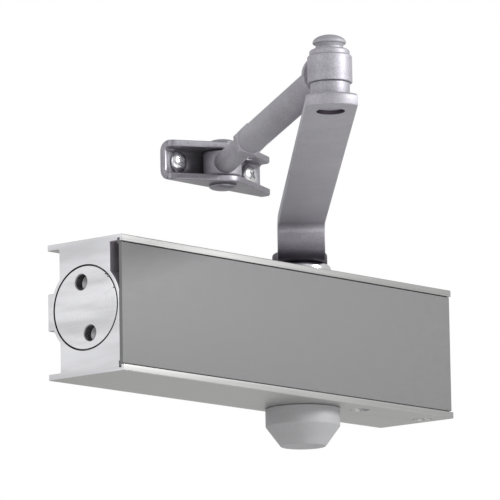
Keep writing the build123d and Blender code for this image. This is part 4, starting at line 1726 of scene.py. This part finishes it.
@dataclass
class Elbow(SubAssembly):
    """Rivet, spacer, collar and knuckle of the joint between the two arms."""

    knuckle_r: float = 9.3
    knuckle_h: float = 11.4
    spacer_r: float = 8.2
    rivet_r: float = 5.0
    dome_r: float = 7.0
    dome_h: float = 3.5
    rim_h: float = 1.8
    collar_r: float = 8.4
    collar_h: float = 2.5
    disc_r: float = 9.2
    disc_s: float = 10.6
    disc_t: float = 2.8
    neck_r: float = 5.4
    neck_start: float = 6.2
    spigot_r: float = 4.35
    spigot_l: float = 14.0
    collar_top_r: float = 5.9

    @property
    def axis(self) -> Matrix:
        """Frame up the elbow axis."""
        return upright(self.places.elbow)

    def build(self) -> None:
        """Make the pieces of the joint."""
        self.spacer()
        self.collar()
        self.rivet()
        self.knuckle()

    def spacer(self) -> None:
        """Spacer that stands on the arm."""
        _, *span = round_extent(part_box("elbow_spacer"))
        radii = (0.1, 0.25, 0.25, 0.1)
        piece = sleeve(
            "elbow_spacer_turned", self.rivet_r, self.spacer_r, span, radii, self.axis, steps=4
        )
        self.dress(piece, "arm_silver", Slot.ARM, Body.ARM, "elbow_spacer")

    def collar(self) -> None:
        """Stepped ring over the knuckle."""
        _, base, top = round_extent(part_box("elbow_collar"))
        step = base + self.collar_h
        corners = [
            (self.rivet_r, base, 0.1),
            (self.collar_r, base, 0.05),
            (self.collar_r, step, 1.2),
            (self.collar_top_r, step, 0.3),
            (self.collar_top_r, top, 0.2),
            (self.rivet_r, top, 0.1),
        ]
        piece = turned("elbow_collar_turned", rounded(corners, steps=6), self.axis, 96, ring=True)
        self.dress(piece, "arm_silver", Slot.ARM, Body.ARM, "elbow_collar")

    def rivet(self) -> None:
        """Rivet with a domed head above and a flared end in the recess below."""
        _, base, top = round_extent(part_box("elbow_rivet"))
        rim = top - self.dome_h
        dome = arc((0, 0), 1.0, 6, 84, 13)
        dome = [(self.dome_r * a, rim + self.dome_h * b) for a, b in dome]
        shank = self.rivet_r - 0.05
        profile = [
            *((radius, base + rise) for radius, rise in RIVET_FLARE),
            (shank, base + 0.5),
            (shank, rim - self.rim_h),
            (5.4, rim - self.rim_h),
            (6.0, rim - 0.6),
            (6.7, rim - 0.35),
            (self.dome_r - 0.05, rim),
            *dome,
            (0, top),
        ]
        piece = turned("elbow_rivet_head", profile, self.axis, 96)
        self.dress(piece, "arm_silver", Slot.ARM, Body.ARM, "elbow_rivet")

    def knuckle(self) -> None:
        """Round eye with its side neck, stop disc and the spigot inside the tube."""
        height = self.places.elbow.z / MM
        half = self.knuckle_h / 2
        bore = self.rivet_r + 0.05
        span = (height - half, height + half)
        radii = (0.2, 0.4, 0.7, 0.2)
        eye = sleeve("elbow_knuckle_eye", bore, self.knuckle_r, span, radii, self.axis, 112, 7)
        start = self.disc_s
        stop = self.disc_s + self.disc_t
        side = [
            (0, self.neck_start, 0),
            (self.neck_r, self.neck_start, 0),
            (self.neck_r, start, 0.6),
            (self.disc_r, start, 0.7),
            (self.disc_r, stop, 0.7),
            (self.spigot_r, stop, 0.2),
            (self.spigot_r, stop + self.spigot_l, 0.5),
            (0, stop + self.spigot_l, 0),
        ]
        neck = turned("neck", rounded(side, closed=False, steps=5), self.places.along_forearm, 96)
        combine(eye, neck, "UNION")
        self.dress(eye, "arm_silver", Slot.ARM, Body.FOREARM, "elbow_knuckle")


@dataclass
class Forearm(SubAssembly):
    """Tube, lock nut and threaded rod with its eye."""

    tube_r: float = 6.3
    tube_bore: float = 4.37
    tube_start: float = 13.42
    neck_end: float = 57.0
    nut_turn: float = 15.0
    nut_t: float = 7.0
    nut_flats: float = 13.0
    nut_gap: float = 0.4
    nut_chamfer: float = 0.9
    nut_bore_r: float = 4.08
    core_r: float = 3.4
    neck_in: float = 3.0
    rod_r: float = 4.0
    rod_end: float = 110.0
    eye_r: float = 8.6
    eye_h: float = 11.4
    neck_r: float = 5.2
    pin_r: float = 4.05
    thread_pitch: float = 1.25
    thread_ridge: float = 0.55

    @property
    def axis(self) -> Matrix:
        """Frame with Z along the forearm."""
        return self.places.along_forearm

    @property
    def tube_end(self) -> float:
        """Far end of the tube from the elbow axis."""
        return self.places.forearm_length - self.neck_end - self.nut_t - self.nut_gap

    def build(self) -> None:
        """Make the tube, the nut and the rod."""
        self.tube()
        self.nut()
        self.rod()

    def tube(self) -> None:
        """Drawn tube with rounded end edges."""
        span = (self.tube_start, self.tube_end)
        radii = (0.2, 0.5, 0.9, 0.3)
        piece = sleeve("forearm_tube_drawn", self.tube_bore, self.tube_r, span, radii, self.axis)
        self.dress(piece, "arm_silver", Slot.ARM, Body.FOREARM, "forearm_tube")

    def nut(self) -> None:
        """Hexagon lock nut with turned-down corners."""
        start = self.tube_end + 0.1
        axis = self.axis @ Matrix.Rotation(math.radians(self.nut_turn), 4, "Z")
        stop = start + self.nut_t
        nut = hexagon("lock_nut_hex", self.nut_flats, start, stop, axis, self.nut_chamfer)
        combine(nut, bar("thread_cut", self.nut_bore_r, start - 2, stop + 2, self.axis))
        self.dress(nut, "arm_silver", Slot.ARM, Body.FOREARM, "lock_nut")

    def rod(self) -> None:
        """Rod with a rolled thread, a smooth neck and the eye on the shoe pin."""
        length = self.places.forearm_length
        height = self.places.pivot.z / MM
        spot = upright(self.places.pivot)
        half = self.eye_h / 2
        corners = [
            (0, height - half, 0),
            (self.eye_r, height - half, 0.9),
            (self.eye_r, height + half, 0.9),
            (0, height + half, 0),
        ]
        eye = turned("forearm_rod_eye", rounded(corners, closed=False, steps=5), spot, 96)
        tip = length - self.rod_end
        start = length - self.neck_end
        stop = length - self.neck_in
        side = [
            (0, tip, 0),
            (self.core_r, tip, 0.4),
            (self.core_r, start, 0),
            (self.neck_r, start, 0.7),
            (self.neck_r, stop, 0),
            (0, stop, 0),
        ]
        combine(eye, turned("neck", rounded(side, closed=False, steps=4), self.axis, 80), "UNION")
        combine(eye, bar("pin_cut", self.pin_r, height - 20, height + 20, spot))
        self.dress(eye, "arm_silver", Slot.ARM, Body.ROD, "forearm_rod")
        self.thread(tip, start)

    def thread(self, low: float, high: float) -> None:
        """Rolled thread of the rod, swept along a helix by geometry nodes."""
        run = high - low - 2
        ridge = self.thread_ridge
        core = self.rod_r - ridge - 0.03
        turns = run / self.thread_pitch
        tree = coil_tree("Rod thread", core, ridge, run, turns, self.finishes["zinc_plate"])
        piece = tree.bake("rod_thread")
        piece.data.transform(self.axis @ Matrix.Translation((0, 0, (low + 1) * MM)))
        finish_mesh(piece.data)
        self.dress(piece, "zinc_plate", Slot.ARM, Body.ROD)


@dataclass
class FrameShoe(SubAssembly):
    """U-shaped bracket, its pivot pin and its two screws."""

    wall: float = 3.0
    bend: float = 4.7
    boss_r: float = 9.6
    edge: float = 0.6
    pin_r: float = 4.0
    head_r: float = 6.3
    head_h: float = 2.7
    head_rim: float = 0.9
    screw_r: float = 2.4
    screw_head_r: float = 4.9
    screw_head_h: float = 2.9
    screw_rim: float = 0.7
    cross_reach: float = 2.3
    cross_half: float = 0.5
    cross_floor: float = 1.5
    cross_turn: float = 35.0
    slices: int = 60
    left_corner: Three = (3.0, -7.5, 3.0)
    right_corner: Three = (2.9, -10.2, 2.6)

    def front_edge(self, x0: float, x1: float) -> Callable[[float], float]:
        """Front edge of the flanges in plan.

        Args:
            x0: Left end of the web in millimetres.
            x1: Right end of the web in millimetres.

        Returns:
            A function from X to the Y of the front edge.
        """
        pivot = (self.places.pivot.x / MM, self.places.pivot.y / MM)
        left_in, left_y, left_r = self.left_corner
        right_in, right_y, right_r = self.right_corner
        circles = (
            (pivot, self.boss_r),
            ((x0 + left_in, left_y), left_r),
            ((x1 - right_in, right_y), right_r),
        )
        cloud = [p for centre, r in circles for p in arc(centre, r, 0, 355, 71)]
        cloud += [(x0, 0.0), (x1, 0.0)]
        hull = [cloud[i] for i in convex_hull_2d([Vector(p) for p in cloud])]

        def edge_at(x: float) -> float:
            """Lowest Y of the hull at one X."""
            lowest = 0.0
            for (ax, ay), (bx, by) in zip(hull, hull[1:] + hull[:1]):
                if min(ax, bx) <= x <= max(ax, bx) and abs(bx - ax) > 1e-6:
                    lowest = min(lowest, ay + (by - ay) * (x - ax) / (bx - ax))
            return lowest

        return edge_at

    def ring(self, x: float, back: float, tip: float, half: float, inset: float) -> list[Vector]:
        """U-shaped section at one station.

        Args:
            x: Station in millimetres.
            back: Y of the web's back face.
            tip: Y of the flange tips.
            half: Half height of the bracket.
            inset: How far the section is drawn in, to round the ends.

        Returns:
            The points of the section, in metres.
        """
        height = self.places.pivot.z / MM
        wall = self.wall - inset
        out = half - inset
        inn = half - wall
        web = back - inset
        front = web - wall + inset
        tip = tip + inset
        soft = min(self.edge, (wall - inset) * 0.35)
        corners = [
            (tip, -out, soft),
            (web, -out, self.bend - inset),
            (web, out, self.bend - inset),
            (tip, out, soft),
            (tip, inn, soft),
            (front, inn, self.bend - self.wall),
            (front, -inn, self.bend - self.wall),
            (tip, -inn, soft),
        ]
        return [Vector((x, y, height + z)) * MM for y, z in rounded(corners, steps=6)]

    def build(self) -> None:
        """Make the bracket, the pin and the screws."""
        low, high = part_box("shoe_bracket")
        x0 = low.x / MM
        x1 = high.x / MM
        back = high.y / MM
        half = (high.z - low.z) / 2 / MM
        edge_at = self.front_edge(x0, x1)
        first = SHOE_ENDS[-1][0]
        run = x1 - x0 - 2 * first
        stations = [(x0 + gap, inset) for gap, inset in SHOE_ENDS]
        stations += [(x0 + first + run * k / self.slices, 0.0) for k in range(1, self.slices)]
        stations += [(x1 - gap, inset) for gap, inset in reversed(SHOE_ENDS)]
        rings = [self.ring(x, back, min(edge_at(x), back - self.wall - 1.5), half, i) for x, i in stations]
        shoe = from_rings("shoe_bracket_pressed", rings, fold=1)
        height = self.places.pivot.z / MM
        spot = upright(self.places.pivot)
        combine(shoe, bar("pin_cut", self.pin_r + 0.02, height - 20, height + 20, spot))
        points = self.screw_points(back)
        for point in points:
            hole = axis_y(point.x, 0, point.z)
            combine(shoe, bar("screw_cut", self.screw_r + 0.2, back - 9, back + 3, hole))
        self.dress(shoe, "shoe_silver", Slot.ARM, Body.SHOE, "shoe_bracket")
        self.pin(half)
        self.screws(points)

    def screw_points(self, back: float) -> list[Vector]:
        """Where each screw head meets the web."""
        mount = next(m for m in frame["record"]["mounts"] if m["name"] == "frame_screws")
        x, _, z = mount["pos_m"]
        half = mount["dims"]["spacing_x_mm"] / 2 * MM
        return [Vector((x + side * half, (back - self.wall) * MM, z)) for side in (-1, 1)]

    def pin(self, half: float) -> None:
        """Pivot pin with a domed head at each end."""
        height = self.places.pivot.z / MM
        head = []
        rim = height + half + self.head_rim
        for k in range(11):
            t = math.radians(90 * k / 10)
            head.append((self.head_r * math.sin(t), rim + (self.head_h - self.head_rim) * math.cos(t)))
        head.append((self.head_r - 0.35, height + half + 0.05))
        upper = [(max(r, 0), z) for r, z in head] + [(self.pin_r, height + half)]
        lower = [(r, 2 * height - z) for r, z in reversed(upper)]
        spot = upright(self.places.pivot)
        pin = turned("shoe_pin_headed", upper + lower, spot, 80)
        self.dress(pin, "shoe_silver", Slot.ARM, Body.SHOE, "shoe_pivot_pin")

    def screws(self, points: Sequence[Vector]) -> None:
        """Both cross-recessed screws: one is made, then copied by geometry nodes."""
        mount_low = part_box("shoe_screws")
        reach = (mount_low[1].y - points[0].y) / MM
        dome = []
        rise = self.screw_head_h - self.screw_rim
        for k in range(9):
            t = math.radians(90 * k / 8)
            dome.append((self.screw_head_r * math.sin(t), -self.screw_rim - rise * math.cos(t)))
        profile = dome + [
            (self.screw_head_r - 0.05, -0.45),
            (self.screw_head_r - 0.7, 0.0),
            (self.screw_r, 0.0),
            (self.screw_r, reach - 0.5),
            (self.screw_r - 0.5, reach),
            (0, reach),
        ]
        pattern = turned("screw_pattern", profile, axis_y(0, 0, 0), 64)
        blade = rectangle(self.cross_reach, self.cross_half)
        for turn in (self.cross_turn, self.cross_turn + 90):
            place = axis_y(0, 0, 0) @ Matrix.Rotation(math.radians(turn), 4, "Z")
            combine(pattern, extruded("recess_cut", blade, place, -4, -self.cross_floor))
        tree = copies_tree("Shoe screws", pattern, self.finishes["zinc_plate"])
        screws = tree.bake("shoe_screw_pair", points)
        bpy.data.objects.remove(pattern)
        self.dress(screws, "zinc_plate", Slot.PLATED, Body.SHOE, "shoe_screws")


@dataclass
class Workings(SubAssembly):
    """Inner pieces: the spring is remade, the others keep their shape and get a finish."""

    wire_r: float = 2.2
    turns: float = 11.0
    kept: dict[str, str] = field(
        default_factory=lambda: {
            "spring_end_seal": "seal_rubber",
            "valve_end_seal": "seal_rubber",
            "piston_seals": "seal_rubber",
            "upper_shaft_seal": "seal_rubber",
            "lower_shaft_seal": "seal_rubber",
            "closing_valve_seal": "seal_rubber",
            "latching_valve_seal": "seal_rubber",
            "upper_bearing": "bearing_bronze",
            "lower_bearing": "bearing_bronze",
            "upper_gland": "zinc_plate",
            "lower_gland": "zinc_plate",
            "spring_seat": "zinc_plate",
            "piston": "ground_steel",
            "pinion_shaft": "ground_steel",
            "check_ball": "ground_steel",
            "ball_seat": "ground_steel",
            "channel_plugs": "ground_steel",
        }
    )

    def build(self) -> None:
        """Finish the kept nodes and remake the spring."""
        for node, finish in self.kept.items():
            piece = frame["nodes"][node]
            piece.data.materials.clear()
            piece.data.materials.append(self.finishes[finish])
        self.spring()

    def spring(self) -> None:
        """Main spring, swept along its helix by geometry nodes."""
        low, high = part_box("main_spring")
        radius = (high.z - low.z) / 2 / MM - self.wire_r
        length = (high.x - low.x) / MM - 2 * self.wire_r
        steel = self.finishes["ground_steel"]
        tree = coil_tree("Main spring", radius, self.wire_r, length, self.turns, steel)
        spring = tree.bake("main_spring_coil")
        centre = (low.y + high.y) / 2
        start = low.x + self.wire_r * MM
        spring.data.transform(axis_x(start, centre, (low.z + high.z) / 2))
        finish_mesh(spring.data)
        self.dress(spring, "ground_steel", Slot.STEEL, Body.CLOSER, "main_spring")


# ------------------------------------------------------------------ studio
@dataclass
class Studio:
    """Floor, lights, surroundings and camera."""

    camera_at: Three = (-1.8624, -1.6145, -0.3732)
    azimuth: float = -49.42
    elevation: float = -9.54
    roll: float = -1.01
    lens: float = 396.0
    floor_z: float = -0.75
    floor_half: float = 4.0
    world_low: float = 0.60
    world_high: float = 0.90
    bright_side: Three = (-0.75, 0.65, 0.1)

    def camera(self) -> None:
        """Long-lens camera low on the spring side, looking slightly up."""
        data = bpy.data.cameras.new("camera")
        data.lens = self.lens
        data.sensor_width = 36.0
        data.clip_start = 0.1
        data.clip_end = 50.0
        camera = bpy.data.objects.new("camera", data)
        bpy.context.scene.collection.objects.link(camera)
        turn = math.radians(self.azimuth)
        lift = math.radians(self.elevation)
        back = Vector(
            (math.sin(turn) * math.cos(lift), -math.cos(turn) * math.cos(lift), math.sin(lift))
        )
        side = Vector((math.cos(turn), math.sin(turn), 0))
        above = back.cross(side)
        tilt = Matrix.Rotation(math.radians(self.roll), 3, back)
        side = tilt @ side
        above = tilt @ above
        pose = Matrix((side, above, back)).transposed().to_4x4()
        camera.matrix_world = Matrix.Translation(self.camera_at) @ pose
        bpy.context.scene.camera = camera

    def light(self, name: str, at: Three, power: float, width: float, height: float) -> None:
        """Soft area light aimed at the closer.

        Args:
            name: Name of the light.
            at: Its position in metres.
            power: Its power in watts.
            width: Width of its face in metres.
            height: Height of its face in metres.
        """
        data = bpy.data.lights.new(name, "AREA")
        data.shape = "RECTANGLE"
        data.size = width
        data.size_y = height
        data.energy = power
        lamp = bpy.data.objects.new(name, data)
        bpy.context.scene.collection.objects.link(lamp)
        lamp.location = at
        lamp.rotation_euler = (-Vector(at)).to_track_quat("-Z", "Y").to_euler()

    def floor(self) -> None:
        """Plain pale floor well below the closer."""
        half = self.floor_half
        corners = [Vector((x, y, self.floor_z)) for x, y in rectangle(half, half)]
        mesh = bpy.data.meshes.new("floor")
        mesh.from_pydata(corners, [], [(0, 1, 2, 3)])
        floor = as_object(mesh, "floor")
        material = bpy.data.materials.new("floor_pale")
        material.use_nodes = True
        shader = material.node_tree.nodes["Principled BSDF"]
        shader.inputs["Base Color"].default_value = (0.8, 0.8, 0.79, 1)
        shader.inputs["Roughness"].default_value = 0.9
        mesh.materials.append(material)

    def surroundings(self) -> None:
        """White surroundings, a little brighter on the side that the left end faces."""
        world = bpy.data.worlds.new("surroundings")
        world.use_nodes = True
        sheet = Sheet(world.node_tree)
        ground = world.node_tree.nodes["Background"]
        ground.inputs["Color"].default_value = (1, 1, 1, 1)
        way = sheet.add("ShaderNodeTexCoord").outputs["Generated"]
        facing = sheet.add("ShaderNodeVectorMath", {0: way, 1: self.bright_side}, operation="DOT_PRODUCT")
        glow = sheet.ramp(facing.outputs["Value"], 0.0, 1.0, self.world_low, self.world_high)
        seen = sheet.add("ShaderNodeLightPath").outputs["Is Camera Ray"]
        strength = sheet.math("MAXIMUM", glow, sheet.math("MULTIPLY", seen, 1.0))
        sheet.feed(ground.inputs["Strength"], strength)
        bpy.context.scene.world = world
        bpy.context.scene.view_settings.view_transform = "Standard"

    def build(self) -> None:
        """Set up the whole studio."""
        self.floor()
        self.surroundings()
        for lamp in LAMPS:
            self.light(*lamp)
        self.camera()


KINDS = (
    BodyShell,
    CoverPlate,
    SpindleStack,
    RegulatingValves,
    MainArm,
    Elbow,
    Forearm,
    FrameShoe,
    Workings,
)


def main() -> None:
    """Build the closer, sub-assembly by sub-assembly."""
    logging.basicConfig(level=logging.INFO, format="%(name)s %(message)s")
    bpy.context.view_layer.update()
    places = Places.from_frame(frame["joints"])
    Studio().build()
    finishes = all_finishes(places)
    for kind in KINDS:
        kind(places, finishes).build()
    for end in End:
        EndPlug(places, finishes, end=end).build()


if __name__ == "__main__":
    main()
